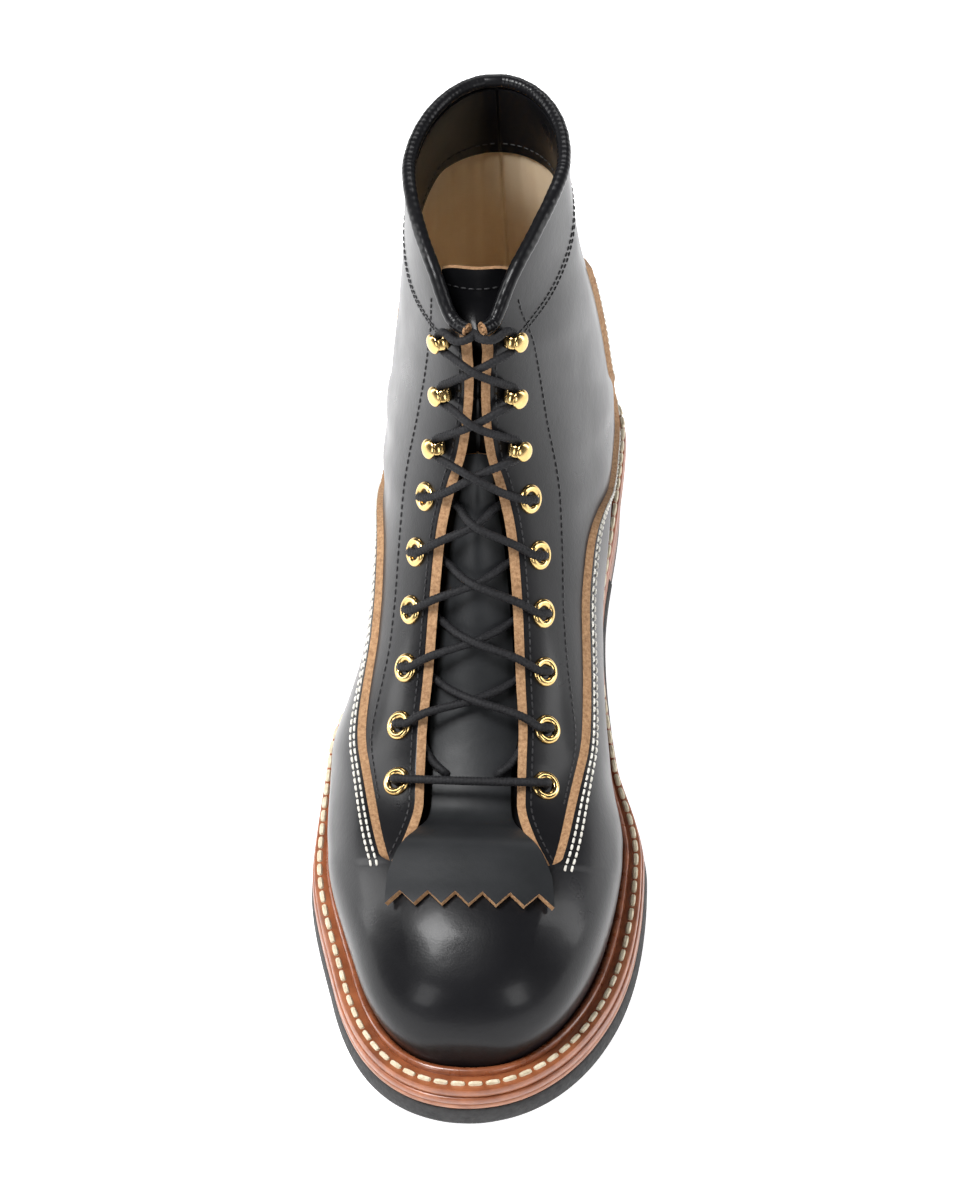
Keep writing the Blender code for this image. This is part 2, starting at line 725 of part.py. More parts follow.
def make_insole(finish):
    def edge(share):
        return -LEATHER - 3 * GAP - 0.0012 * smoothstep(0.72, 0.95, share)

    levels = [
        (edge, feather_rise),
        (edge, lambda run: feather_rise(run) + INSOLE_THICKNESS),
    ]
    return slab("insole", levels, finish, stations())


def wall_reach(wall, shares, heights):
    """How far the upper's outer face stands out past the feather line, at each station and side and at
    each height above the feather line. It also counts the face half way to the next stations. wall is a
    search tree of the upper's mesh."""
    reach = np.zeros((2, len(shares), len(heights)))
    start = outline(lambda share: 0.0, shares)
    further = outline(lambda share: 0.001, shares)
    for k in range(2):
        outward = (further[k] - start[k]) / 0.001
        for i in range(len(shares)):
            for step in (-0.5, 0.0, 0.5):
                n = min(max(i + round(2 * step), 0), len(shares) - 1)
                place = start[k][i] + (start[k][n] - start[k][i]) * abs(step)
                way = outward[i] + (outward[n] - outward[i]) * abs(step)
                for j, height in enumerate(heights):
                    reach[k, i, j] = max(reach[k, i, j], wall_distance(wall, place, way, height))
    return reach


def wall_distance(wall, place, outward, height):
    """Distance from a plan point out to the upper's outer face, at a height above the feather line."""
    out = 0.0
    for _ in range(3):
        run = place[1] + outward[1] * out
        x, y = place + outward * 0.03
        rise = float(feather_rise(run)) + max(height, 0.0004)
        hit = wall.ray_cast((x, to_y(y), rise), (-outward[0], -outward[1], 0.0), 0.05)
        out = 0.03 - hit[3] if hit[0] is not None else 0.0
    return out


def make_welt(finish, wall):
    """The welt all round, with its storm bead standing against the upper. The bead shrinks where the
    upper leans out over the waist. wall is a search tree of the upper's mesh."""
    shares = stations()
    thick, bead, width = WELT_THICKNESS, BEAD_HEIGHT, BEAD_WIDTH
    clear = 0.0005
    reach = wall_reach(wall, shares, (0.0, thick * 0.5, thick, thick + bead * 0.6, thick + bead))
    outlines = [[], []]
    heights = []
    for i, share in enumerate(shares):
        margin = float(welt_margin((feather_at(share)[0] - TOE_MARGIN) / FEATHER_LENGTH))
        room = margin - reach[:, i, 4].max() - clear - 0.0009
        full = min(max(room / width, 0.0), 1.0)
        heights.append((0.0, 0.0, thick * 0.8, thick, thick, thick + 0.6 * bead * full))
        heights[-1] += (thick + bead * full, thick + 0.6 * bead * full, thick * 0.5)
        for k in range(2):
            wall = reach[k, i] + clear
            edge = max(margin, wall[2] + 0.0022)
            foot = min(wall[2] + width + 0.0006, edge - 0.0009)
            bulk = foot - wall[2]
            lean = (wall[3:5] - wall[2]) * full
            outs = (wall[0], edge, edge, edge - 0.0005, foot, wall[2] + lean[0] + 0.86 * bulk)
            outs += (wall[2] + lean[1] + 0.45 * bulk, wall[2] + lean[0] + 0.08 * bulk, wall[1])
            outlines[k].append([outline(lambda s, d=out: d, [share])[k][0] for out in outs])
    size = 2 * len(shares) - 2
    vertices, faces = [], []
    count = len(heights[0])
    for p in range(count):
        lateral = [point[p] for point in outlines[0]]
        medial = [point[p] for point in outlines[1]]
        ring = ring_of(np.array(lateral), np.array(medial))
        rise = [row[p] for row in heights]
        rise = rise + rise[-2:0:-1]
        vertices.extend(
            (x, to_y(run), float(midsole_top(run)) + GAP + high) for (x, run), high in zip(ring, rise)
        )
    for p in range(count):
        n = (p + 1) % count
        for k in range(size):
            m = (k + 1) % size
            faces.append([p * size + k, p * size + m, n * size + m, n * size + k])
    return new_object("welt", vertices, faces, finish)


def heel_lines():
    """Plan points round the heel at the seat and on the floor, from the lateral corner of the breast
    round the back to the medial corner."""
    seat_front = SOLE_LENGTH - HEEL_SEAT_LENGTH
    tread_front = SOLE_LENGTH - HEEL_BACK_RAKE - HEEL_TREAD_LENGTH
    sides = []
    arcs = np.linspace(0.60, 1, 120)
    for k, side in enumerate((-1, 1)):
        points = outline(welt_margin, arcs)[k]
        corner = [np.interp(seat_front, points[:, 1], points[:, 0]), seat_front]
        whole = np.concatenate([[corner], points[points[:, 1] > seat_front]])
        length = np.concatenate([[0], np.cumsum(np.hypot(*np.diff(whole, axis=0).T))])
        at = np.linspace(0, length[-1], HEEL_POINTS)
        sides.append(
            np.stack([np.interp(at, length, whole[:, 0]), np.interp(at, length, whole[:, 1])], axis=1)
        )
    seat = np.concatenate([sides[0], sides[1][-2::-1]])
    share = (seat[:, 1] - seat_front) / HEEL_SEAT_LENGTH
    middle = float(plan_centre(0.9))
    half = np.abs(seat[:, 0] - middle).max()
    floor = np.stack(
        [
            middle + (seat[:, 0] - middle) * (1 - HEEL_SIDE_RAKE / half),
            tread_front + share * HEEL_TREAD_LENGTH,
        ],
        axis=1,
    )
    return seat, floor


def make_heel_piece(name, finish, low, high):
    """The stacked heel between two heights. high is None for the piece that carries the seat."""
    seat, floor = heel_lines()
    seat_rise = midsole_under(seat[:, 1]) - 1.4 * GAP
    rings = []
    for share in (0.0, 0.5, 1.0):
        top = seat_rise if high is None else np.full(len(seat), high)
        rise = low + (top - low) * share
        plan = floor + (seat - floor) * (rise / seat_rise)[:, None]
        rings.append([(x, to_y(run), z) for (x, run), z in zip(plan, rise)])
    size = len(seat)
    vertices = [v for ring in rings for v in ring]
    faces = []
    for level in range(len(rings) - 1):
        for k in range(size):
            a, b = level * size + k, level * size + (k + 1) % size
            faces.append([a, b, b + size, a + size])
    for level, turn in ((0, 1), (len(rings) - 1, -1)):
        base = level * size
        for k in range(size // 2):
            ring = [base + k, base + k + 1, base + size - 2 - k, base + size - 1 - k]
            ring = list(dict.fromkeys(ring))
            faces.append(ring[::turn])
    return new_object(name, vertices, faces, finish)


# The upper


def corner_around():
    """Share round the section at the throat's corner."""
    return float(around_at(THROAT_PLACE, THROAT[0][2]))


def overlay_lift(place, around):
    """How far the vamp and counter stand up from the quarters: a full step at their edge, fading out."""
    corner = corner_around()
    edge = np.maximum(overlay_edge(place), corner)
    behind = OVERLAY_STEP * (1 - smoothstep(0, LIFT_FADE, around - edge))
    behind = np.where((around < edge) | (place > COUNTER_PLACE + 1e-9), 0, behind)
    top_seam = smoothstep(COUNTER_PLACE - 0.12, COUNTER_PLACE, place) * 0.8 * OVERLAY_STEP
    behind = np.where((around >= edge) & (place <= COUNTER_PLACE + 1e-9), np.maximum(behind, top_seam), behind)
    away = np.maximum(around - corner, 0) + (THROAT_PLACE - place) * 1.3
    ahead = OVERLAY_STEP * (1 - smoothstep(0, LIFT_FADE, away))
    return np.where(place <= THROAT_PLACE + 1e-9, ahead, behind)


def dipped(place, around):
    """Draws the upper's rows near the collar down to its dipping edge."""
    return place - collar_dip(around) * np.clip((place - DIP_START) / (1 - DIP_START), 0, 1)


def collar_columns():
    """Shares round the collar's edge at the upper's columns behind the throat."""
    start = float(around_at(1.0, float(throat_gap(1.0))))
    face = np.linspace(start, COLLAR_SIDE, FACING_COLUMNS + 1)
    return np.concatenate([face, np.linspace(COLLAR_SIDE, 1, SIDE_COLUMNS + 1)[1:]])


def make_upper(finish):
    """Vamp, quarters, counter and shaft as one wall, open at the throat, the collar and underneath."""
    rows = upper_rows()
    throat_row = rows.index(THROAT_PLACE)
    counter_row = rows.index(COUNTER_PLACE)
    corner = corner_around()
    outer, inner = [], []
    for i, place in enumerate(rows):
        if i <= throat_row:
            start = edge = corner
        else:
            start = float(around_at(place, float(throat_gap(place))))
            edge = max(float(overlay_edge(place)), start + 0.006)
            edge += (COLLAR_SIDE - edge) * float(smoothstep(COUNTER_PLACE, 1, place))
        centre = np.linspace(0, start, CENTRE_COLUMNS + 1)[:-1]
        face = np.linspace(start, edge, FACING_COLUMNS + 1)
        side = edge + (1 - edge) * np.linspace(0, 1, SIDE_COLUMNS + 1)
        around = np.concatenate([centre, face, side])
        high = np.zeros(len(around))
        if i <= counter_row:
            high[:] = overlay_lift(np.full(len(around), place), around)
            if i > throat_row:
                high[: CENTRE_COLUMNS + FACING_COLUMNS + 1] = 0
        both = []
        for direction in (-1, 1):
            places = dipped(place, around)
            top = offset_surface(places, around, direction, high)
            under = offset_surface(places, around, direction, -LEATHER)
            both.append((top, under))
        outer.append(np.concatenate([both[0][0][::-1], both[1][0]]))
        inner.append(np.concatenate([both[0][1][::-1], both[1][1]]))
    outer, inner = np.array(outer), np.array(inner)
    half = outer.shape[1] // 2

    def cells(i, j):
        from_middle = half - 2 - j if j < half - 1 else j - half
        if j == half - 1:
            return i < throat_row
        return i < throat_row or from_middle >= CENTRE_COLUMNS

    points, faces = shell(outer, inner, cells)
    upper = new_object("upper", points, faces, finish)
    triangulate(upper)
    return upper


def cut_eyelet_holes(upper, finish):
    for place, x, side in lacing_places()[0]:
        boolean(upper, eyelet_cutter(place, x, side, finish), "DIFFERENCE")


# Closures


def row_places():
    """Places of the eyelet and hook rows, found by walking up beside the throat at even steps."""
    places = np.linspace(FIRST_EYELET_PLACE, 0.99, 500)
    path = surface(places, around_at(places, throat_gap(places) + EYELET_SETBACK), 1)
    length = np.concatenate([[0], np.cumsum(np.linalg.norm(np.diff(path, axis=0), axis=1))])
    wanted = ROW_SPACING * np.arange(EYELET_ROWS + HOOK_ROWS)
    return [float(place) for place in np.interp(wanted, length, places)]


def lacing_places():
    """(place, distance from the middle, side) of the eyelets and of the hooks, lateral then medial."""
    eyelets, hooks = [], []
    for row, place in enumerate(row_places()):
        setback, found = (EYELET_SETBACK, eyelets) if row < EYELET_ROWS else (HOOK_SETBACK, hooks)
        for side in (-1, 1):
            found.append((place, float(throat_gap(place)) + setback, side))
    return eyelets, hooks


def revolve(name, profile, place, finish, sides):
    """A ring: a closed profile of (radius, height) turned round a frame's normal."""
    centre, normal, outward, upward = place
    points, faces = [], []
    for turn in range(sides):
        angle = 2 * math.pi * turn / sides
        direction = math.cos(angle) * outward + math.sin(angle) * upward
        points.extend(centre + direction * radius + normal * height for radius, height in profile)
    size = len(profile)
    for turn in range(sides):
        after = (turn + 1) % sides
        for k in range(size):
            m = (k + 1) % size
            faces.append([turn * size + k, turn * size + m, after * size + m, after * size + k])
    return new_object(name, points, faces, finish)


def face_heights(wall, frame, radius):
    """Heights at which flat discs on the outer and inner face of the leather clear it."""
    centre, normal, outward, upward = frame
    high, low = 0.0, -LEATHER
    for turn in range(16):
        angle = 2 * math.pi * turn / 16
        for share in (0.6, 1.0):
            flat = centre + radius * share * (math.cos(angle) * outward + math.sin(angle) * upward)
            hit = wall.ray_cast(tuple(flat + 0.006 * normal), tuple(-normal), 0.012)
            if hit[0] is not None:
                high = max(high, 0.006 - hit[3])
            hit = wall.ray_cast(tuple(flat - 0.006 * normal), tuple(normal), 0.012)
            if hit[0] is not None and hit[3] < 0.0055:
                low = min(low, hit[3] - 0.006)
    return high + GAP, low - GAP


def eyelet_cutter(place, x, side, finish):
    centre, normal, outward, upward = frame_at(place, x, side)
    radius = EYELET_HOLE_RADIUS + EYELET_BARREL_WALL + GAP
    points, faces = tube([centre - normal * 0.006, centre + normal * 0.006], radius, 12)
    cutter = new_object("cutter", points, faces, finish)
    cutter.hide_render = True
    cutter.display_type = "WIRE"
    return cutter


def make_eyelet(name, wall, place, x, side, finish):
    frame = frame_at(place, x, side)
    hole, barrel = EYELET_HOLE_RADIUS, EYELET_HOLE_RADIUS + EYELET_BARREL_WALL
    face = face_heights(wall, frame, EYELET_RADIUS)[0]
    back = face_heights(wall, frame, EYELET_CLINCH_RADIUS)[1]
    profile = (
        (hole, back - EYELET_CLINCH),
        (EYELET_CLINCH_RADIUS, back - EYELET_CLINCH),
        (EYELET_CLINCH_RADIUS, back),
        (barrel, back),
        (barrel, face),
        (EYELET_RADIUS, face),
        ((EYELET_RADIUS + hole) / 2, face + EYELET_FLANGE),
        (hole, face + EYELET_FLANGE * 0.5),
    )
    return revolve(name, profile, frame, finish, EYELET_SIDES)


HOOK_UNDER = 2 * LACE_RADIUS + 4 * GAP + 0.0002


def make_hook(name, wall, place, x, side, finish):
    """A hook bent from one plate: base on the leather, bend on the throat side, round button on top."""
    centre, normal, outward, upward = frame_at(place, x, side)
    plate = HOOK_PLATE
    low = face_heights(wall, frame_at(place, x, side), HOOK_BUTTON_RADIUS)[0] + plate / 2
    high = low + plate + HOOK_UNDER
    bend = (high - low) / 2
    middle = (high + low) / 2
    # Columns: distance outward, height, half width. The plate's line from the base to the button's rim.
    line = [
        (0.0034, low, 0.0010),
        (0.0028, low, 0.0020),
        (0.0010, low, 0.0028),
        (-0.0010, low, 0.0024),
    ]
    for turn in (20, 55, 90, 130):
        angle = math.radians(turn)
        line.append((-0.0010 - bend * math.sin(angle), middle - bend * math.cos(angle), HOOK_NECK_HALF_WIDTH))
    button = HOOK_BUTTON_RADIUS
    for share in (-0.45, 0.0, 0.45, 0.8, 0.99):
        line.append((share * button, high, button * math.sqrt(1 - share * share) + 0.0001))
    points, faces = [], []
    for k, (out, rise, half) in enumerate(line):
        before, after = line[max(k - 1, 0)], line[min(k + 1, len(line) - 1)]
        along = np.array([after[0] - before[0], after[1] - before[1]])
        along = along / np.linalg.norm(along)
        off = np.array([-along[1], along[0]]) * plate / 2
        for across, sign in ((-half, -1), (half, -1), (half, 1), (-half, 1)):
            points.append(
                centre
                + outward * (out + sign * off[0])
                + normal * (rise + sign * off[1])
                + upward * across
            )
    for k in range(len(line) - 1):
        for turn in range(4):
            a, b = 4 * k + turn, 4 * k + (turn + 1) % 4
            faces.append([a, b, b + 4, a + 4])
    faces.append([3, 2, 1, 0])
    last = 4 * (len(line) - 1)
    faces.append([last, last + 1, last + 2, last + 3])
    hook = new_object(name, points, faces, finish)
    triangulate(hook)
    return hook


def throat_point(place, x, height):
    """A point over the throat: x is signed, height is measured from the upper's outer surface."""
    side = -1 if x < 0 else 1
    return offset_surface(place, around_at(place, abs(x)), side, height)


UNDER_FACING = -LEATHER - 2 * GAP - EYELET_CLINCH - LACE_RADIUS - 0.0003


def through_eyelet(wall, place, x, side, upwards=True):
    """The lace's way through an eyelet, from under the facing to the flange's throat side."""
    centre, normal, outward, upward = frame_at(place, x, side)
    face = face_heights(wall, frame_at(place, x, side), EYELET_RADIUS)[0]
    back = face_heights(wall, frame_at(place, x, side), EYELET_CLINCH_RADIUS)[1]
    over = face + EYELET_FLANGE + LACE_RADIUS + 0.0012
    under = min(UNDER_FACING, back - EYELET_CLINCH - LACE_RADIUS - 0.0004)
    steps = ((-0.0040, under), (0.0, under), (0.0, -0.0015), (0.0, over))
    steps += ((-0.0030, over), (-0.0054, over * 0.9))
    found = [centre + outward * out + normal * height for out, height in steps]
    return found if upwards else found[::-1]


def round_hook(place, x, side):
    """The lace's way round a hook's neck: in below it, out above it, both on the throat side."""
    centre, normal, outward, upward = frame_at(place, x, side)
    clear = HOOK_NECK_HALF_WIDTH + LACE_RADIUS + GAP
    level = 2 * GAP + HOOK_PLATE + LACE_RADIUS + GAP
    behind = -0.0010 + LACE_RADIUS + GAP - 0.0004
    steps = (
        (-0.0046, -clear - 0.0006),
        (-0.0016, -clear),
        (behind + 0.0004, -0.55 * clear),
        (behind + 0.0012, 0.0),
        (behind + 0.0004, 0.55 * clear),
        (-0.0016, clear),
        (-0.0046, clear + 0.0006),
    )
    return [centre + outward * out + upward * up + normal * level for out, up in steps]


def crossing(from_place, to_place, side, lift):
    """The lace over the throat, from the top of one facing to under the other."""
    gap_from, gap_to = float(throat_gap(from_place)), float(throat_gap(to_place))
    rise = to_place - from_place
    return [
        throat_point(from_place + 0.12 * rise, side * (gap_from + 0.0022), LACE_RADIUS + 4 * GAP),
        throat_point(from_place + 0.24 * rise, side * (gap_from - 0.0016), LACE_RADIUS + 3 * GAP),
        throat_point(from_place + 0.48 * rise, 0.0, lift - 0.0010),
        throat_point(from_place + 0.66 * rise, -side * gap_to * 0.60, -0.0034),
        throat_point(from_place + 0.78 * rise, -side * gap_to * 0.92, UNDER_FACING),
        throat_point(from_place + 0.90 * rise, -side * (gap_to + 0.003), UNDER_FACING),
    ]


def make_lace(finish, wall):
    """One lace through the eyelets and round the hooks, its two halves joined where they cross."""
    eyelets, hooks = lacing_places()
    halves = []
    for start in (-1, 1):
        path = []
        place, x, _ = eyelets[0]
        slot = throat_point(KILTIE_SLOT_PLACE, start * KILTIE_SLOT_X, UNDER_FACING + 0.0002)
        path.append(slot)
        path.append(throat_point(KILTIE_SLOT_PLACE + 0.012, start * float(throat_gap(0.41)), UNDER_FACING))
        side = start
        for row in range(1, EYELET_ROWS):
            place, x, _ = eyelets[2 * row]
            path.extend(through_eyelet(wall, place, x, side))
            if row < EYELET_ROWS - 1:
                after, after_x, _ = eyelets[2 * row + 2]
                path.extend(crossing(place, after, side, 0.0009 * side))
                side = -side
        after, after_x, _ = hooks[0]
        path.append(throat_point(place + 0.007, side * float(throat_gap(place)), LACE_RADIUS + 6 * GAP))
        path.append(throat_point((place + after) / 2, 0.0, 0.0038 + 0.0009 * side))
        side = -side
        for row in range(HOOK_ROWS):
            place, x, _ = hooks[2 * row]
            path.extend(round_hook(place, x, side))
            if row < HOOK_ROWS - 1:
                after, after_x, _ = hooks[2 * row + 2]
                middle = (place + after) / 2
                path.append(throat_point(middle, 0.0, 0.0046 + 0.0009 * side))
                side = -side
        path.append(throat_point(place + 0.012, side * 0.0045, 0.0038))
        halves.append(smooth_path(path))
    place, x, _ = eyelets[0]
    bar = through_eyelet(wall, place, x, -1)[2:]
    bar.extend(throat_point(place, share * x, 0.0024) for share in (-0.3, 0.3))
    bar.extend(through_eyelet(wall, place, x, 1, False)[:-2])
    bar = smooth_path(bar)
    made = None
    for name, path in (("lace", halves[0]), ("lace_half", halves[1]), ("lace_bar", bar)):
        piece = new_object(name, *tube(path, LACE_RADIUS), finish)
        if made is None:
            made = piece
        elif name == "lace_half":
            boolean(made, piece, "UNION")
    return made


def kiltie_offset(place, sunk):
    """Heights of the kiltie's top face above the upper's outer surface."""
    on_top = overlay_lift(place, np.zeros_like(place)) * (place <= THROAT_PLACE) + GAP * 1.5
    on_top = np.where(place > THROAT_PLACE, OVERLAY_STEP + GAP * 1.5, on_top) + KILTIE_THICKNESS
    below = UNDER_FACING - LACE_RADIUS - 3 * GAP
    return on_top + (below - on_top) * smoothstep(0, 1, sunk)


def make_kiltie(finish):
    """The false tongue: teeth over the vamp, then under the laces between the facings."""
    half_width_at = column(KILTIE, 1, 2)
    sunk_at = column(KILTIE, 1, 3)
    columns = 2 * KILTIE_TEETH - 1
    across = np.linspace(-1, 1, columns)
    rows = [None, 0.266, 0.285, 0.302, 0.320, 0.340, 0.360, 0.385, 0.41, 0.44]
    rows += [0.48, 0.53, 0.58, 0.635, 0.69]
    top, under = [], []
    for place in rows:
        if place is None:
            tips = np.arange(columns) % 2 == 0
            places = np.where(tips, KILTIE_TIP_PLACE, KILTIE_NOTCH_PLACE)
            half = KILTIE_TEETH_HALF
        else:
            places = np.full(columns, place)
            half = float(half_width_at(place))
        height = kiltie_offset(places, sunk_at(places))
        x = across * half
        side = np.where(x < 0, -1, 1)
        around = around_at(places, np.abs(x))
        top.append(offset_surface(places, around, side, height))
        under.append(offset_surface(places, around, side, height - KILTIE_THICKNESS))
    points, faces = shell(np.array(top), np.array(under), lambda i, j: True)
    return new_object("kiltie", points, faces, finish)


def make_tongue(finish):
    half_width_at = column(TONGUE, 1, 2)
    across = np.linspace(-1, 1, TONGUE_COLUMNS)
    rows = (0.262, 0.31, 0.36, 0.41, 0.47, 0.53, 0.59, 0.64, 0.69, 0.73, 0.77, 0.83, 0.92, 1.0)
    under_kiltie = -UNDER_FACING + LACE_RADIUS + KILTIE_THICKNESS + 5 * GAP
    under_facing = LEATHER + 10 * GAP
    top, under = [], []
    for place in rows:
        x = across * float(half_width_at(place))
        side = np.where(x < 0, -1, 1)
        around = around_at(np.full(len(x), place), np.abs(x))
        depth = under_kiltie + (under_facing - under_kiltie) * smoothstep(0.69, 0.77, place)
        places = np.full(len(x), place)
        base = offset_surface(places, around, side, -depth)
        share = ((across + 1) / 2)[:, None]
        level = base[0] * (1 - share) + base[-1] * share
        level[:, 1] -= TONGUE_BOW * (1 - across**2)
        flat = float(smoothstep(0.77, 0.95, place))
        normal = surface_normal(places, around, side) * (1 - flat) + surface_normal(place, 0.0, 1) * flat
        normal = normal / np.linalg.norm(normal, axis=-1, keepdims=True)
        drop = (0.0, 0.0, -TONGUE_DROP * float(smoothstep(0.86, 1.0, place)))
        base = base + (level - base) * flat + drop
        top.append(base)
        under.append(base - normal * TONGUE_THICKNESS)
    points, faces = shell(np.array(top), np.array(under), lambda i, j: True)
    tongue = new_object("tongue", points, faces, finish)
    triangulate(tongue)
    return tongue


def make_binding(finish):
    """The rolled edge that caps the collar from one facing round the back to the other."""
    around = collar_columns()
    sides = []
    for side in (-1, 1):
        places = dipped(1.0, around)
        edge = offset_surface(places, around, side, np.full(len(around), -LEATHER / 2))
        away = np.cross(surface_normal(places, around, side), np.gradient(edge, axis=0))
        away = away * np.sign(away[:, 2:]) / np.linalg.norm(away, axis=-1, keepdims=True)
        away[-1] = (0.0, 0.0, 1.0)
        path = edge + away * (BINDING_RADIUS + 1.2 * GAP)
        share = (BINDING_RADIUS + GAP - abs(path[0, 0])) / (abs(path[1, 0]) - abs(path[0, 0]))
        path[0] += (path[1] - path[0]) * np.clip(share, 0, 0.8)
        sides.append(path)
    path = list(sides[0]) + list(sides[1][-2::-1])
    return new_object("collar_binding", *tube(path, BINDING_RADIUS), finish)


def main():
    for obj in list(bpy.data.objects):
        bpy.data.objects.remove(obj)
    black_leather = material("black_leather", (0.012, 0.012, 0.013), 0.35)
    brown_leather = material("brown_leather", (0.20, 0.065, 0.03), 0.45)
    tan_leather = material("tan_leather", (0.45, 0.28, 0.15), 0.6)
    rubber = material("rubber", (0.02, 0.02, 0.02), 0.8)
    brass = material("brass", (0.78, 0.53, 0.20), 0.25, 1.0)
    cord = material("waxed_cord", (0.015, 0.015, 0.015), 0.5)
    upper = make_upper(black_leather)
    wall = BVHTree.FromObject(upper, bpy.context.evaluated_depsgraph_get())
    make_outsole(rubber)
    make_midsole(brown_leather)
    make_insole(tan_leather)
    make_welt(brown_leather, wall)
    make_heel_piece("top_lift", rubber, 0.0, TOP_LIFT_THICKNESS)
    make_heel_piece("heel_stack", brown_leather, TOP_LIFT_THICKNESS + GAP, None)
    make_tongue(black_leather)
    make_kiltie(black_leather)
    make_binding(black_leather)
    cut_eyelet_holes(upper, black_leather)
    eyelets, hooks = lacing_places()
    names = {-1: "lateral", 1: "medial"}
    for index, (place, x, side) in enumerate(eyelets):
        make_eyelet(f"eyelet_{names[side]}_{index // 2 + 1}", wall, place, x, side, brass)
    for index, (place, x, side) in enumerate(hooks):
        make_hook(f"hook_{names[side]}_{index // 2 + 1}", wall, place, x, side, brass)
    make_lace(cord, wall)


main()
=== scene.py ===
import math

import bmesh
import bpy
import numpy as np
from mathutils import Matrix, Vector


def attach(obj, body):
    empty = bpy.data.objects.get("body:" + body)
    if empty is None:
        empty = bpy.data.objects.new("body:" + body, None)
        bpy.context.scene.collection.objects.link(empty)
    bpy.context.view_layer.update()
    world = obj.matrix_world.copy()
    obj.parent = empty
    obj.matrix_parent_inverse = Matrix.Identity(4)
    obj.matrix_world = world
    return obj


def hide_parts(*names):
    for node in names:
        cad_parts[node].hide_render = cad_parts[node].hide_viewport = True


# The looks of a right-foot logger boot. Metres, +Z up, toe to -Y, +X is the medial side. A run is the
# distance back from the sole's toe tip. place and around name a point of the upper: place runs along the
# fan of sections from the toe tip to the collar, around runs from the top line to the sole or the back.

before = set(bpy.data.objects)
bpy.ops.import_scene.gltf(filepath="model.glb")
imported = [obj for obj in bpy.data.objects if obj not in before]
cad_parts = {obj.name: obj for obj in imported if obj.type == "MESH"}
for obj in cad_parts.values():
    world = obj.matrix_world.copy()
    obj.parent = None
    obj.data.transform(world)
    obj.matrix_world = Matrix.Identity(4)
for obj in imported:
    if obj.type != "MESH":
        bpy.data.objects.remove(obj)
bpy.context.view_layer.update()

# Driving sizes, the same as the solids'
SOLE_LENGTH = 0.303
SOLE_BALL_WIDTH = 0.1125
HEEL_HEIGHT = 0.041
TOE_SPRING = 0.0105
OUTSOLE_THICKNESS = 0.0078
OUTSOLE_WAIST_THICKNESS = 0.0042
MIDSOLE_THICKNESS = 0.0056
WELT_THICKNESS = 0.0034
BEAD_HEIGHT = 0.0024
BEAD_WIDTH = 0.0030
TOP_LIFT_THICKNESS = 0.0075
INSOLE_THICKNESS = 0.0032
HEEL_SEAT_LENGTH = 0.089
HEEL_TREAD_LENGTH = 0.068
HEEL_BACK_RAKE = 0.008
HEEL_SIDE_RAKE = 0.0022
OUTSOLE_FLARE = 0.0017
GAP = 0.0003
BOOT_HEIGHT = 0.200
LEATHER = 0.0022
OVERLAY_STEP = 0.0019
SHEET = 0.0022
BINDING_RADIUS = 0.0023
ROW_SPACING = 0.0194
EYELET_ROWS = 6
HOOK_ROWS = 3
EYELET_SETBACK = 0.0088
EYELET_RADIUS = 0.0049
EYELET_HOLE_RADIUS = 0.0023
HOOK_SETBACK = 0.0078
HOOK_BUTTON_RADIUS = 0.0034
HOOK_NECK_HALF_WIDTH = 0.0018
LACE_RADIUS = 0.0014
HEEL_CENTRE_RUN = SOLE_LENGTH - HEEL_BACK_RAKE - HEEL_TREAD_LENGTH / 2

# Columns: share of the feather line's length, lateral and medial half widths as shares of the ball width
LAST_PLAN = (
    ("toe", 0.00, 0.349, 0.382),
    ("toe box", 0.14, 0.353, 0.409),
    ("ball", 0.32, 0.418, 0.417),
    ("ball back", 0.46, 0.422, 0.337),
    ("waist", 0.62, 0.302, 0.295),
    ("heel front", 0.76, 0.305, 0.330),
    ("heel", 0.88, 0.322, 0.345),
    ("back", 1.00, 0.322, 0.343),
)
TOE_ROUND_SHARE, TOE_ROUND_POWER = 0.32, 2.25
HEEL_ROUND_SHARE, HEEL_ROUND_POWER = 0.115, 2.2

# Columns: share of the length, how far the welt stands out from the feather line
WELT_MARGIN = (
    ("toe", 0.00, 0.0105),
    ("toe box", 0.18, 0.0100),
    ("ball", 0.38, 0.0080),
    ("waist", 0.62, 0.0044),
    ("heel", 0.80, 0.0038),
    ("back", 1.00, 0.0036),
)
TOE_MARGIN = WELT_MARGIN[0][2]
HEEL_MARGIN = WELT_MARGIN[-1][2]

# Columns: share of the sole's length, share of the toe spring, share of the heel's height
SOLE_PROFILE = (
    ("tip", 0.00, 1.00, 0.00),
    ("toe", 0.10, 0.38, 0.00),
    ("tread front", 0.22, 0.00, 0.00),
    ("tread back", 0.42, 0.00, 0.00),
    ("waist front", 0.52, 0.00, 0.15),
    ("waist", 0.62, 0.00, 0.56),
    ("waist back", 0.70, 0.00, 0.82),
    ("seat front", 0.77, 0.00, 0.94),
    ("seat", 0.85, 0.00, 0.98),
    ("back", 1.00, 0.00, 1.00),
)

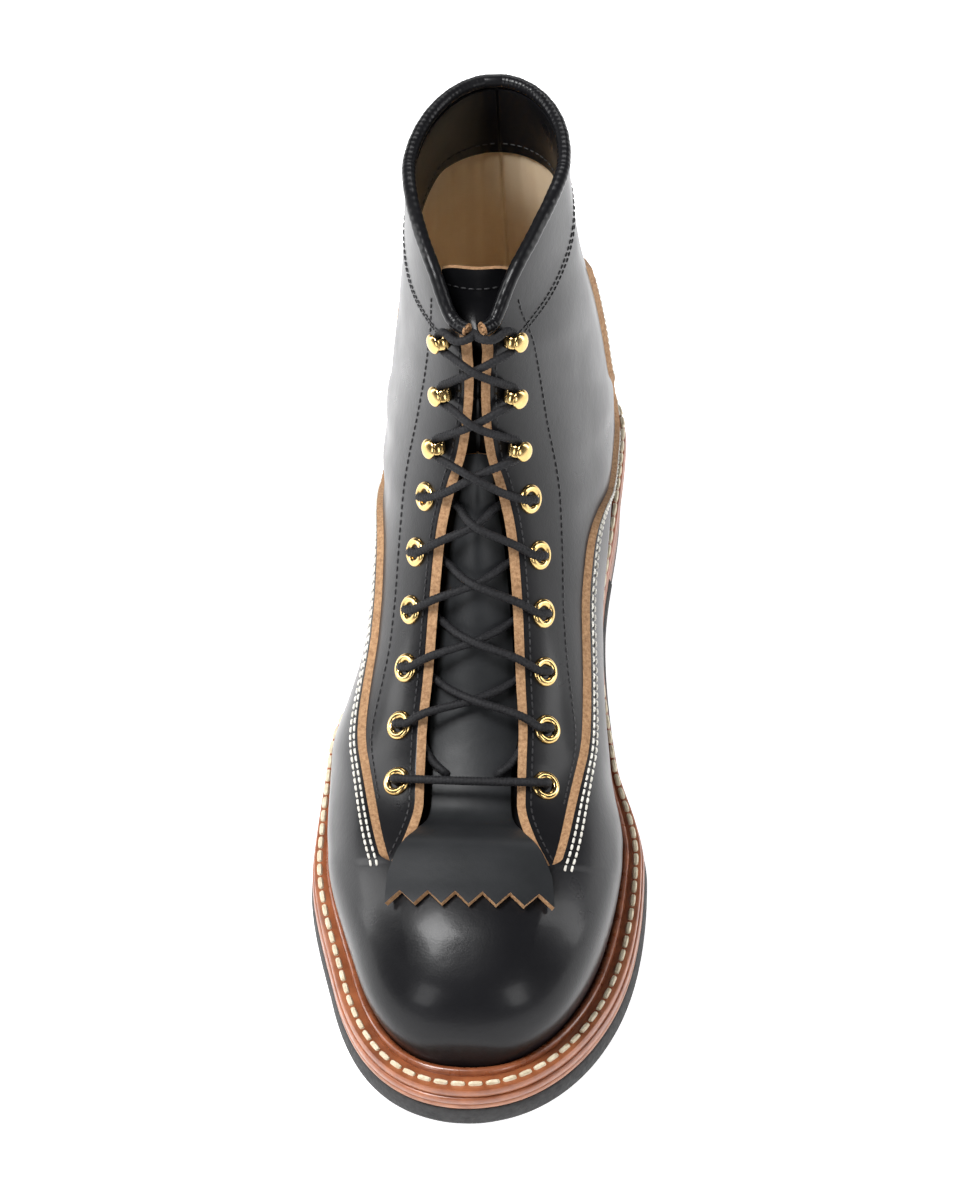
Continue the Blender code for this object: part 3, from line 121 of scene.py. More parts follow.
# Columns: place, share of the feather line at the foot, height up the back, top line run and height,
# bulge, full half width, place of the widest point, roundness of the top, shift of the centre
SECTIONS = (
    ("toe tip", 0.00, 0.00, 0.00, 0.0347, 0.142, 0.000, 0.430, 0.50, 2.00, 0.016),
    ("toe wall", 0.05, 0.06, 0.00, 0.0400, 0.205, 0.006, 0.430, 0.55, 2.10, 0.018),
    ("toe front", 0.10, 0.12, 0.00, 0.0620, 0.262, 0.010, 0.430, 0.60, 2.20, 0.024),
    ("toe box", 0.18, 0.20, 0.00, 0.1150, 0.308, 0.014, 0.430, 0.64, 2.30, 0.028),
    ("vamp", 0.28, 0.31, 0.00, 0.2000, 0.330, 0.020, 0.430, 0.66, 2.20, 0.018),
    ("ball", 0.37, 0.41, 0.00, 0.2900, 0.348, 0.036, 0.430, 0.68, 2.10, 0.003),
    ("instep", 0.46, 0.52, 0.00, 0.3800, 0.418, 0.050, 0.405, 0.70, 2.00, 0.000),
    ("waist", 0.55, 0.64, 0.00, 0.4650, 0.530, 0.060, 0.340, 0.70, 1.90, -0.002),
    ("bend", 0.63, 0.76, 0.00, 0.5290, 0.642, 0.060, 0.345, 0.68, 1.80, -0.004),
    ("heel front", 0.71, 0.89, 0.00, 0.5690, 0.740, 0.060, 0.350, 0.64, 1.70, -0.002),
    ("heel back", 0.79, 1.00, 0.00, 0.5960, 0.838, 0.060, 0.336, 0.60, 1.60, 0.003),
    ("counter", 0.85, 1.00, 0.26, 0.6090, 0.893, 0.060, 0.306, 0.58, 1.55, 0.004),
    ("ankle", 0.92, 1.00, 0.62, 0.6190, 0.944, 0.060, 0.262, 0.58, 1.50, -0.010),
    ("collar", 1.00, 1.00, 1.00, 0.6310, 0.991, 0.060, 0.237, 0.58, 1.50, -0.013),
)
LOWER_SWEEP = math.radians(56)

# Columns: share of the height from the feather line to the collar, distance in front of the sole's back
BACK_CURVE = (
    ("seat", 0.00, 0.0036),
    ("counter", 0.17, 0.0005),
    ("counter top", 0.40, 0.0045),
    ("achilles", 0.65, 0.0112),
    ("collar", 1.00, 0.0140),
)

# Columns: place, half the gap between the facings
THROAT = (
    ("corner", 0.285, 0.0242),
    ("flare", 0.327, 0.0186),
    ("first eyelet", 0.365, 0.0158),
    ("second eyelet", 0.430, 0.0158),
    ("third eyelet", 0.485, 0.0145),
    ("fourth eyelet", 0.550, 0.0130),
    ("fifth eyelet", 0.610, 0.0108),
    ("sixth eyelet", 0.657, 0.0074),
    ("first hook", 0.697, 0.0040),
    ("second hook", 0.785, 0.0018),
    ("collar", 1.000, 0.0018),
)
THROAT_PLACE = THROAT[0][1]

# The collar's edge dips towards the throat. Columns: share round the section, drop in place.
COLLAR_DIP = (
    ("throat", 0.03, 0.120),
    ("flank", 0.12, 0.100),
    ("flank top", 0.21, 0.030),
    ("side", 0.30, 0.006),
    ("level", 0.38, 0.000),
)
DIP_START = 0.80

# Columns: place, share round the section of the vamp's and counter's upper edge
OVERLAY_EDGE = (
    ("corner", 0.285, 0.166),
    ("first eyelet", 0.360, 0.214),
    ("second eyelet", 0.440, 0.286),
    ("third eyelet", 0.500, 0.326),
    ("instep", 0.570, 0.334),
    ("vamp back", 0.625, 0.410),
    ("joint front", 0.655, 0.600),
    ("joint", 0.690, 0.720),
    ("joint back", 0.720, 0.700),
    ("counter front", 0.790, 0.545),
    ("counter top", 0.900, 0.560),
    ("collar", 1.000, 0.560),
)
COUNTER_PLACE = 0.895
LIFT_FADE = 0.20
FIRST_EYELET_PLACE = 0.384

# Columns: place, half width, how far the kiltie has sunk from on top of the vamp to under the facings
KILTIE = (
    ("corner row", 0.266, 0.0250, 0.0),
    ("throat", 0.292, 0.0226, 0.0),
    ("flare", 0.330, 0.0174, 0.40),
    ("first eyelet", 0.372, 0.0148, 1.0),
    ("bar", 0.400, 0.0150, 1.0),
    ("second eyelet", 0.440, 0.0176, 1.0),
    ("third eyelet", 0.497, 0.0164, 1.0),
    ("fifth eyelet", 0.600, 0.0128, 1.0),
    ("sixth eyelet", 0.651, 0.0095, 1.0),
    ("end", 0.690, 0.0085, 1.0),
)
KILTIE_TEETH = 7
KILTIE_TIP_PLACE, KILTIE_NOTCH_PLACE = 0.226, 0.243
KILTIE_TEETH_HALF = 0.0254
KILTIE_SLOT_PLACE, KILTIE_SLOT_X = 0.398, 0.0098

# Columns: place, half width of the tongue
TONGUE = (
    ("under the vamp", 0.262, 0.0235),
    ("first eyelet", 0.384, 0.0270),
    ("fourth eyelet", 0.550, 0.0260),
    ("first hook", 0.700, 0.0205),
    ("third hook", 0.860, 0.0165),
    ("top", 1.000, 0.0158),
)
TONGUE_DROP = 0.006
TONGUE_BOW = 0.003

# The creases in the leather. Columns: side, place and share round of the middle, half length along
# the section, half width across it, tilt of the crease, depth in metres (below 0 is a ridge).
CREASES = (
    ("bend, lateral", -1, 0.640, 0.430, 0.120, 0.018, 0.10, 0.0007),
    ("bend ridge, lateral", -1, 0.668, 0.440, 0.110, 0.016, 0.12, -0.0004),
    ("bend upper, lateral", -1, 0.700, 0.420, 0.100, 0.016, 0.16, 0.0006),
    ("bend, medial", 1, 0.630, 0.440, 0.130, 0.018, 0.08, 0.0007),
    ("bend ridge, medial", 1, 0.660, 0.450, 0.110, 0.016, 0.10, -0.0004),
    ("bend upper, medial", 1, 0.694, 0.430, 0.100, 0.016, 0.14, 0.0006),
    ("shaft, lateral", -1, 0.850, 0.420, 0.140, 0.020, 0.05, 0.0005),
    ("shaft, medial", 1, 0.840, 0.400, 0.150, 0.020, 0.04, 0.0005),
    ("flex, lateral", -1, 0.300, 0.560, 0.140, 0.014, -0.06, 0.0004),
    ("flex, medial", 1, 0.310, 0.560, 0.140, 0.014, -0.06, 0.0004),
)


def smooth_curve(places, values):
    """A cubic through the points, with slopes limited to avoid waves."""
    x = np.array(places, float)
    y = np.array(values, float)
    rise = np.diff(y) / np.diff(x)
    slope = np.concatenate([[rise[0]], (rise[:-1] + rise[1:]) / 2, [rise[-1]]])
    turning = np.concatenate([[False], rise[:-1] * rise[1:] <= 0, [False]])
    slope[turning] = 0.0
    limit = 3 * np.minimum(np.abs(np.append(rise, rise[-1])), np.abs(np.insert(rise, 0, rise[0])))
    slope = np.clip(slope, -limit, limit)

    def value(at):
        at = np.clip(np.asarray(at, float), x[0], x[-1])
        i = np.clip(np.searchsorted(x, at, side="right") - 1, 0, len(x) - 2)
        width = x[i + 1] - x[i]
        u = (at - x[i]) / width
        return (
            y[i] * (1 + 2 * u) * (1 - u) ** 2
            + y[i + 1] * u * u * (3 - 2 * u)
            + slope[i] * width * u * (1 - u) ** 2
            - slope[i + 1] * width * u * u * (1 - u)
        )

    return value


def column(table, value=2, scale=1.0):
    """A curve through one column of a table over the table's first one."""
    return smooth_curve([row[1] for row in table], [row[value] * scale for row in table])


def smoothstep(low, high, at):
    u = np.clip((np.asarray(at, float) - low) / (high - low), 0, 1)
    return u * u * (3 - 2 * u)


def unit(vectors):
    return vectors / np.linalg.norm(vectors, axis=-1, keepdims=True)


def lengths(path):
    """How far along a path each of its points is."""
    return np.concatenate([[0], np.cumsum(np.linalg.norm(np.diff(path, axis=0), axis=1))])


def read_path(at, length, path):
    """Points of a path at given lengths."""
    return np.stack([np.interp(at, length, values) for values in np.transpose(path)], axis=-1)


def same_shape(*values):
    return np.broadcast_arrays(*(np.asarray(each, float) for each in values))


def to_y(run):
    return run - HEEL_CENTRE_RUN


FEATHER_LENGTH = SOLE_LENGTH - TOE_MARGIN - HEEL_MARGIN
plan_lateral, plan_medial = (column(LAST_PLAN, k, SOLE_BALL_WIDTH) for k in (2, 3))
welt_margin = column(WELT_MARGIN)


def plan_centre(share):
    return (plan_medial(share) - plan_lateral(share)) / 2


def feather_half(share):
    """Half width of the feather line, rounded off at the toe and heel."""
    share = np.clip(np.asarray(share, float), 0, 1)
    toe = np.clip(1 - share / TOE_ROUND_SHARE, 0, 1)
    heel = np.clip((share - 1 + HEEL_ROUND_SHARE) / HEEL_ROUND_SHARE, 0, 1)
    ends = (1 - toe**TOE_ROUND_POWER) ** (1 / TOE_ROUND_POWER)
    ends = ends * (1 - heel**HEEL_ROUND_POWER) ** (1 / HEEL_ROUND_POWER)
    return (plan_lateral(share) + plan_medial(share)) / 2 * ends


def feather_shares():
    """Shares of the feather line's length at equal steps of arc, from toe to heel."""
    share = (1 - np.cos(np.linspace(0, math.pi, 400))) / 2
    arc = lengths(np.stack([feather_half(share), share * FEATHER_LENGTH], axis=1))
    return arc / arc[-1], share


ARC_SHARES, LENGTH_SHARES = feather_shares()


def feather_at(arc):
    """Run, centre and half width of the feather line at a share of the arc."""
    share = np.interp(arc, ARC_SHARES, LENGTH_SHARES)
    return TOE_MARGIN + share * FEATHER_LENGTH, plan_centre(share), feather_half(share)


def feather_slope(arc):
    step = 1e-3
    share = np.clip(np.interp(arc, ARC_SHARES, LENGTH_SHARES), 0.5, 1 - step)
    change = feather_half(share - step) - feather_half(share + step)
    return np.maximum(change, 0) / (2 * step * FEATHER_LENGTH)


spring_part = column(SOLE_PROFILE, 2, TOE_SPRING)
heel_part = column(SOLE_PROFILE, 3, HEEL_HEIGHT - OUTSOLE_THICKNESS)


def midsole_under(run):
    share = np.clip(np.asarray(run, float) / SOLE_LENGTH, 0, 1)
    return OUTSOLE_THICKNESS + GAP + spring_part(share) + heel_part(share)


def midsole_top(run):
    return midsole_under(run) + MIDSOLE_THICKNESS


def feather_rise(run):
    return midsole_top(run) + GAP


SECTION_SCALES = (1, 1, SOLE_LENGTH, BOOT_HEIGHT, SOLE_BALL_WIDTH, SOLE_BALL_WIDTH, 1, 1, SOLE_BALL_WIDTH)
fan_foot, fan_back, fan_top_run, fan_top_rise, fan_bulge, fan_half, fan_widest, fan_round, fan_shift = (
    column(SECTIONS, k, scale) for k, scale in enumerate(SECTION_SCALES, 2)
)
back_inset, throat_gap, overlay_edge, collar_dip = map(column, (BACK_CURVE, THROAT, OVERLAY_EDGE, COLLAR_DIP))
HEEL_BACK_PLACE = next(row[1] for row in SECTIONS if row[2] >= 1)
BALL_PLACE = 0.42
HEEL_FRONT_PLACE = 0.68
BACK_DROP = 0.001


def section_ends(place):
    """The ends of a section, and the feather line's half width and centre at its foot."""
    foot_run, centre, foot_half = feather_at(fan_foot(place))
    seat = feather_rise(SOLE_LENGTH - HEEL_MARGIN)
    up = fan_back(place)
    on_back = place > HEEL_BACK_PLACE
    bottom_run = np.where(on_back, SOLE_LENGTH - back_inset(up), foot_run)
    back_rise = seat + up * (BOOT_HEIGHT - BACK_DROP - seat)
    bottom_rise = np.where(on_back, back_rise, feather_rise(foot_run))
    lift = 1 - smoothstep(0, 0.05, place)
    top_run = fan_top_run(place) + lift * (TOE_MARGIN - fan_top_run(0.0))
    top_rise = fan_top_rise(place) + lift * (feather_rise(TOE_MARGIN) - fan_top_rise(0.0))
    return top_run, top_rise, bottom_run, bottom_rise, foot_half, centre


def half_width(place, foot_half):
    blend = smoothstep(BALL_PLACE, HEEL_FRONT_PLACE, place)
    return (1 - blend) * (foot_half + fan_bulge(place) * smoothstep(0, 0.1, place)) + blend * fan_half(place)


def lower_sweep(place, top_run, low_run, wide, foot_half, widest):
    slope = feather_slope(fan_foot(place)) * (low_run - top_run)
    ratio = slope * (1 - widest) / np.maximum(wide - foot_half, 1e-4)
    turned = np.arccos(1 / np.maximum(ratio - 1, 1 + 1e-9))
    turned = np.clip(turned, LOWER_SWEEP, math.pi / 2)
    return turned + (math.pi / 2 - turned) * smoothstep(HEEL_BACK_PLACE - 0.04, HEEL_BACK_PLACE, place)


def surface(place, around, side):
    """A point of the upper's outer surface. side is -1 lateral and 1 medial."""
    place, around, side = same_shape(place, around, side)
    top_run, top_rise, low_run, low_rise, foot_half, low_centre = section_ends(place)
    wide = half_width(place, foot_half)
    widest = fan_widest(place)
    power = 2 / fan_round(place)
    angle = np.clip(around, 0, 0.5) * math.pi
    upper_x = wide * np.sin(angle) ** power
    upper_q = widest * (1 - np.clip(np.cos(angle), 0, 1) ** power)
    sweep = lower_sweep(place, top_run, low_run, wide, foot_half, widest)
    turn = (np.clip(around, 0.5, 1) * 2 - 1) * sweep
    end_cos = np.cos(sweep)
    core = (foot_half - wide * end_cos) / (1 - end_cos)
    lower_x = core + (wide - core) * np.cos(turn)
    lower_q = widest + (1 - widest) * np.sin(turn) / np.sin(sweep)
    low = around > 0.5
    x = np.where(low, lower_x, upper_x)
    q = np.where(low, lower_q, upper_q)
    centre = fan_shift(place) + (low_centre - fan_shift(place)) * smoothstep(0, 1, q)
    run = top_run + (low_run - top_run) * q
    rise = top_rise + (low_rise - top_rise) * q
    return np.stack([centre + side * np.maximum(x, 0), to_y(run), rise], axis=-1)


def surface_normal(place, around, side):
    """The outward normal of the upper's surface."""
    step = 2e-3
    place, around, side = same_shape(place, around, side)
    p0, p1 = np.clip(place - step, 0.004, 1), np.clip(place + step, 0.008, 1)
    a0, a1 = np.clip(around - step, 0.002, 1), np.clip(around + step, 0.004, 1)
    along = surface(p1, around, side) - surface(p0, around, side)
    down = surface(place.clip(0.006, 1), a1, side) - surface(place.clip(0.006, 1), a0, side)
    normal = -np.cross(along, down) * side[..., None]
    ridge = (around < 1e-6) | ((around > 1 - 1e-6) & (place > HEEL_BACK_PLACE - 1e-6))
    normal[..., 0] = np.where(ridge, 0, normal[..., 0])
    level = np.where(place <= HEEL_BACK_PLACE, 1 - smoothstep(0.80, 1.0, around), 1.0)
    normal[..., 2] = normal[..., 2] * level
    length = np.linalg.norm(normal, axis=-1, keepdims=True)
    normal = normal / np.where(length == 0, 1, length)
    normal[place < 1e-6] = (0, -1, 0)
    return normal


def offset_surface(place, around, side, out):
    return surface(place, around, side) + surface_normal(place, around, side) * np.asarray(out)[..., None]


def around_at(place, distance):
    """How far round the section the surface is a given distance from the middle plane."""
    foot_half = section_ends(place)[4]
    share = np.clip(distance / half_width(place, foot_half), 0, 1)
    return np.arcsin(share ** (fan_round(place) / 2)) / math.pi


CORNER = float(around_at(THROAT_PLACE, THROAT[0][2]))


def crease_depth(place, around, side):
    """How far the creases push the leather in."""
    depth = np.zeros(np.broadcast(place, around).shape)
    for _, on, p, a, long, wide, tilt, deep in CREASES:
        across = (place - p - tilt * (around - a)) / wide
        along = (around - a) / long
        depth = depth + np.where(side == on, deep * np.exp(-(across**2) - along**2), 0)
    return depth


def overlay_lift(place, around):
    """How far the vamp and counter stand up from the quarters."""
    edge = np.maximum(overlay_edge(place), CORNER)
    behind = OVERLAY_STEP * (1 - smoothstep(0, LIFT_FADE, around - edge))
    top_seam = smoothstep(COUNTER_PLACE - 0.12, COUNTER_PLACE, place) * 0.8 * OVERLAY_STEP
    behind = np.maximum(behind, top_seam)
    ahead_of = np.maximum(THROAT_PLACE - place, 0)
    away = np.maximum(around - CORNER, 0) + 1.6 * ahead_of**2 / (ahead_of + 0.03)
    ahead = OVERLAY_STEP * (1 - smoothstep(0, LIFT_FADE, away))
    return np.where(place <= THROAT_PLACE, ahead, behind)


def dipped(place, around):
    """Draws rows near the collar down to its dipping edge."""
    return place - collar_dip(around) * np.clip((place - DIP_START) / (1 - DIP_START), 0, 1)


# Node materials

NOISE, CELLS = "ShaderNodeTexNoise", "ShaderNodeTexVoronoi"


def node(tree, kind, values=None, **links):
    """A new node with values on its inputs and links into them."""
    made = tree.nodes.new(kind)
    for name, value in (values or {}).items():
        made.inputs[name].default_value = value
    for name, source in links.items():
        tree.links.new(source, made.inputs[name])
    return made


def ramp(tree, source, stops):
    """A colour ramp over a value. stops holds (position, colour)."""
    made = node(tree, "ShaderNodeValToRGB", Fac=source)
    while len(made.color_ramp.elements) < len(stops):
        made.color_ramp.elements.new(0.5)
    for element, (position, colour) in zip(made.color_ramp.elements, stops):
        element.position = position
        element.color = (*colour, 1)
    return made.outputs["Color"]


def finish(name, dark, light, mottle, bumps, roughness, shader_values=None):
    """A surface with a mottled colour between two, a varied roughness and stacked bumps."""
    made = bpy.data.materials.new(name)
    made.use_nodes = True
    tree = made.node_tree
    shader = tree.nodes["Principled BSDF"]
    place = node(tree, "ShaderNodeTexCoord").outputs["Object"]
    spots = node(tree, NOISE, {"Scale": mottle, "Detail": 6.0, "Roughness": 0.6}, Vector=place)
    colour = ramp(tree, spots.outputs["Fac"], [(0.3, dark), (0.7, light)])
    tree.links.new(colour, shader.inputs["Base Color"])
    wear = node(tree, NOISE, {"Scale": mottle * 2.3, "Detail": 4.0}, Vector=place)
    limits = {"From Min": 0.3, "From Max": 0.7, "To Min": roughness[0], "To Max": roughness[1]}
    varied = node(tree, "ShaderNodeMapRange", limits, Value=wear.outputs["Fac"])
    tree.links.new(varied.outputs["Result"], shader.inputs["Roughness"])
    last = {}
    for kind, scale, depth, strength in bumps:
        texture = node(tree, kind, {"Scale": scale}, Vector=place)
        height = texture.outputs["Fac" if kind == NOISE else "Distance"]
        bump = node(tree, "ShaderNodeBump", {"Distance": depth, "Strength": strength}, Height=height, **last)
        last = {"Normal": bump.outputs["Normal"]}
    for normal in last.values():
        tree.links.new(normal, shader.inputs["Normal"])
    for key, value in (shader_values or {}).items():
        shader.inputs[key].default_value = value
    return made


# Columns: dark and light colour, scale of the mottling, bumps (kind, scale, depth in metres, strength),
# least and most roughness, other values of the shader
FINISHES = {
    "black_leather": (
        (0.0040, 0.0040, 0.0046), (0.0085, 0.0085, 0.0098), 14.0,
        [(CELLS, 1500.0, 0.00006, 0.25), (NOISE, 420.0, 0.0002, 0.18), (NOISE, 60.0, 0.0008, 0.12)],
        (0.26, 0.38),
        {"Coat Weight": 0.12, "Coat Roughness": 0.14, "Coat IOR": 1.4, "Specular IOR Level": 0.16},
    ),
    "kiltie_leather": (
        (0.012, 0.013, 0.014), (0.021, 0.022, 0.024), 30.0,
        [(CELLS, 1900.0, 0.00005, 0.25), (NOISE, 500.0, 0.0002, 0.2)],
        (0.38, 0.50), {"Specular IOR Level": 0.22},
    ),
    "raw_edge": (
        (0.21, 0.105, 0.045), (0.46, 0.27, 0.135), 900.0, [(NOISE, 2600.0, 0.0003, 0.7)], (0.72, 0.9),
    ),
    # Painted light: the lining's tan is set lighter than the leather's own colour, to brighten the shaded
    # inside of the shaft.
    "lining_leather": (
        (0.80, 0.62, 0.41), (0.88, 0.72, 0.51), 22.0,
        [(CELLS, 1300.0, 0.00008, 0.3), (NOISE, 150.0, 0.0006, 0.25)], (0.5, 0.64),
    ),
    "welt_leather": (
        (0.19, 0.052, 0.018), (0.38, 0.125, 0.048), 120.0, [(NOISE, 700.0, 0.0003, 0.3)],
        (0.3, 0.44), {"Coat Weight": 0.35, "Coat Roughness": 0.25},
    ),
    "bead_leather": (
        (0.15, 0.040, 0.015), (0.30, 0.092, 0.036), 160.0, [(NOISE, 500.0, 0.0003, 0.25)],
        (0.24, 0.36), {"Coat Weight": 0.5, "Coat Roughness": 0.2},
    ),
    "midsole_leather": (
        (0.24, 0.082, 0.036), (0.40, 0.16, 0.078), 200.0, [(NOISE, 900.0, 0.0003, 0.35)],
        (0.38, 0.52), {"Coat Weight": 0.15, "Coat Roughness": 0.35},
    ),
    "heel_leather": (
        (0.105, 0.033, 0.015), (0.21, 0.078, 0.036), 180.0, [(NOISE, 900.0, 0.0004, 0.4)],
        (0.36, 0.5), {"Coat Weight": 0.2, "Coat Roughness": 0.3},
    ),
    "tread_rubber": (
        (0.016, 0.0155, 0.016), (0.030, 0.029, 0.029), 220.0,
        [(CELLS, 900.0, 0.00025, 0.5), (NOISE, 2200.0, 0.0002, 0.3)], (0.66, 0.82),
    ),
    "brass": (
        (0.56, 0.38, 0.14), (0.68, 0.48, 0.21), 300.0, [(NOISE, 1800.0, 0.00004, 0.15)],
        (0.14, 0.26), {"Metallic": 1.0},
    ),
    "braided_cord": (
        (0.007, 0.007, 0.008), (0.022, 0.022, 0.024), 1400.0, [(NOISE, 5000.0, 0.0002, 0.5)],
        (0.5, 0.7), {"Specular IOR Level": 0.2},
    ),
    "white_thread": (
        (0.60, 0.57, 0.50), (0.80, 0.78, 0.72), 900.0, [(NOISE, 4000.0, 0.0002, 0.5)], (0.55, 0.7),
    ),
    "welt_thread": (
        (0.56, 0.46, 0.30), (0.80, 0.72, 0.55), 500.0, [(NOISE, 3000.0, 0.0003, 0.5)], (0.5, 0.65),
    ),
    "black_thread": (
        (0.008, 0.008, 0.009), (0.02, 0.02, 0.022), 900.0, [(NOISE, 4000.0, 0.0002, 0.5)], (0.45, 0.6),
    ),
    "floor_paper": (
        (0.84, 0.84, 0.85), (0.86, 0.86, 0.86), 3.0, [], (0.8, 0.85),
        {"Emission Color": (1, 1, 1, 1), "Emission Strength": 0.85},
    ),
}
MATERIALS = {name: finish(name, *row) for name, row in FINISHES.items()}
LEATHER_SHEET = ("black_leather", "lining_leather", "raw_edge")


# Mesh helpers


def make_object(name, points, faces, finishes, slots=None, weld=2e-6, sharp=50):
    mesh = bpy.data.meshes.new(name)
    mesh.from_pydata(np.asarray(points, float).reshape(-1, 3).tolist(), [], faces)
    for each in finishes:
        mesh.materials.append(MATERIALS[each])
    if slots is not None:
        mesh.polygons.foreach_set("material_index", np.asarray(slots, np.int32))
    made = bpy.data.objects.new(name, mesh)
    bpy.context.scene.collection.objects.link(made)
    work = bmesh.new()
    work.from_mesh(mesh)
    if weld:
        bmesh.ops.remove_doubles(work, verts=work.verts, dist=weld)
    bmesh.ops.recalc_face_normals(work, faces=work.faces)
    work.to_mesh(mesh)
    work.free()
    mesh.shade_smooth()
    mesh.set_sharp_from_angle(angle=math.radians(sharp))
    return made


def hand_in(piece, slot, *nodes):
    """Puts a piece on the boot and hides the solids that it stands for. slot is not used."""
    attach(piece, "root")
    if nodes:
        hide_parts(*nodes)


def shell(name, outer, inner, finishes, cells=None, sharp=50):
    """Closes two matching grids into one solid with outer, inner and edge faces in three finishes."""
    rows, columns = outer.shape[:2]
    count = rows * columns
    index = np.arange(count).reshape(rows, columns)
    cells = np.ones((rows - 1, columns - 1), bool) if cells is None else cells
    kept = np.stack([index[:-1, :-1], index[:-1, 1:], index[1:, 1:], index[1:, :-1]], axis=-1)[cells]
    faces = [kept, kept[:, ::-1] + count]
    padded = np.pad(cells, 1)
    across = padded[1:, 1:-1] != padded[:-1, 1:-1]
    down = padded[1:-1, 1:] != padded[1:-1, :-1]
    for edges, (di, dj) in ((across, (0, 1)), (down, (1, 0))):
        i, j = np.nonzero(edges)
        start, end = index[i, j], index[i + di, j + dj]
        faces.append(np.stack([start, end, end + count, start + count], axis=-1))
    slots = np.repeat([0, 1, 2, 2], [len(each) for each in faces])
    points = np.concatenate([outer.reshape(-1, 3), inner.reshape(-1, 3)])
    return make_object(name, points, np.concatenate(faces).tolist(), finishes, slots, sharp=sharp)


def both_sides(build):
    """The sheets that build(side) gives, as rows from the lateral foot over the top to the medial foot.
    Also all their cells, and the middle column."""
    halves = zip(build(-1), build(1))
    outer, inner = (np.concatenate([left[:, ::-1], right], axis=1) for left, right in halves)
    rows, columns = outer.shape[:2]
    return outer, inner, np.ones((rows - 1, columns - 1), bool), columns // 2


def full_turn(sides):
    return 2 * math.pi * np.arange(sides) / sides


def spread(angles, across, up):
    """Directions at angles from one axis to another."""
    return np.cos(angles)[:, None] * across + np.sin(angles)[:, None] * up


def headings(path):
    """The direction of a path at each of its points."""
    padded = np.concatenate([path[:1], path, path[-1:]])
    return unit(padded[2:] - padded[:-2])


def ring_faces(rings, size, closed=False):
    """Quads between neighbouring rings of points."""
    index = np.arange(rings * size).reshape(rings, size)
    index = np.concatenate([index, index[:1]]) if closed else index
    after = np.roll(index, -1, axis=1)
    return np.stack([index[:-1], after[:-1], after[1:], index[1:]], axis=-1).reshape(-1, 4).tolist()


def capped_faces(rings, size):
    last = (rings - 1) * size
    return ring_faces(rings, size) + [list(range(size))[::-1], list(range(last, last + size))]


def joined(parts):
    """One set of points and faces from several."""
    points, faces, base = [], [], 0
    for found, sides in parts:
        points.append(found)
        faces.extend([v + base for v in face] for face in sides)
        base += len(found)
    return np.concatenate(points), faces


def edge_line(out, arcs, side):
    """Plan points (x, run) of the feather line moved outwards by out(length share)."""
    fine = 1e-3
    run, centre, half = feather_at(arcs)
    before = feather_at(np.maximum(arcs - fine, 0))
    after = feather_at(np.minimum(arcs + fine, 1))
    outwards = after[1] - before[1] + side * (after[2] - before[2])
    tangent = np.stack([outwards, after[0] - before[0]], axis=-1)
    tangent[arcs < fine] = (side, 0.0)
    tangent[arcs > 1 - fine] = (-side, 0.0)
    normal = unit(np.stack([side * tangent[:, 1], -side * tangent[:, 0]], axis=-1))
    out = out((run - TOE_MARGIN) / FEATHER_LENGTH) if callable(out) else out
    return np.stack([centre + side * half, run], axis=-1) + normal * np.reshape(out, (-1, 1))


def rim(out, height, arcs, side):
    """Points on one side of the sole, at height(run)."""
    plan = edge_line(out, arcs, side)
    return np.stack([plan[:, 0], to_y(plan[:, 1]), height(plan[:, 1])], axis=-1)


def ring_rows(levels, arcs):
    """Rings of points round the sole, one for each (outwards offset, height function)."""
    end = -2 if arcs[-1] == 1 else -1
    rings = []
    for out, height in levels:
        outs = out if isinstance(out, tuple) else (out, out)
        left, right = (rim(each, height, arcs, side) for each, side in zip(outs, (-1, 1)))
        rings.append(np.concatenate([left, right[end:0:-1]]))
    return rings


def stack_rings(name, rings, finishes, slots=None, caps=True, mirror=0, sharp=40):
    """A solid from rings of points: bands between them, closed by strips across the first and last ring,
    or without caps by a band from the last to the first. mirror is the ring's way of starting: 0 on the
    middle line, 1 beside it."""
    size = len(rings[0])
    faces = ring_faces(len(rings), size, closed=not caps)
    slots = slots or [0] * len(rings)
    kinds = np.repeat(slots[: len(faces) // size], size).tolist()
    for base in (0, (len(rings) - 1) * size) if caps else ():
        for k in range(size // 2):
            across = [base + (size - k - 1 - mirror) % size, base + (size - k - mirror) % size]
            ring = list(dict.fromkeys([base + k, base + k + 1, *across]))
            if len(ring) > 2:
                faces.append(ring)
                kinds.append(slots[0])
    return make_object(name, np.concatenate(rings), faces, finishes, kinds, sharp=sharp)


def resample(path, spacing):
    """Points at even steps along a path, and how far along they are."""
    length = lengths(path)
    at = np.linspace(0, length[-1], max(int(length[-1] / spacing), 2) + 1)
    return read_path(at, length, path), at


def cut_corners(path, times):
    path = np.asarray(path, float)
    for _ in range(times):
        first = path[:-1] * 0.75 + path[1:] * 0.25
        second = path[:-1] * 0.25 + path[1:] * 0.75
        cut = np.stack([first, second], axis=1).reshape(-1, 3)
        path = np.concatenate([path[:1], cut, path[-1:]])
    return path


def tube(path, radii, sides):
    """A capped tube round a path. radii holds one for each ring and side."""
    points = []
    angles = full_turn(sides)
    ahead = headings(path)
    across = np.cross(ahead[0], (0.0, 0.0, 1.0))
    for centre, forward, ring in zip(path, ahead, np.broadcast_to(radii, (len(path), sides))):
        across = unit(across - forward * (across @ forward))
        points.append(centre + ring[:, None] * spread(angles, across, np.cross(forward, across)))
    return np.concatenate(points), capped_faces(len(path), sides)


# A stitch's rings. Columns: share of its length, share of its radius.
STITCH = np.array([(0.0, 0.35), (0.08, 0.85), (0.3, 1.0), (0.7, 1.0), (0.92, 0.85), (1.0, 0.35)])
STITCH_SIDES = 6

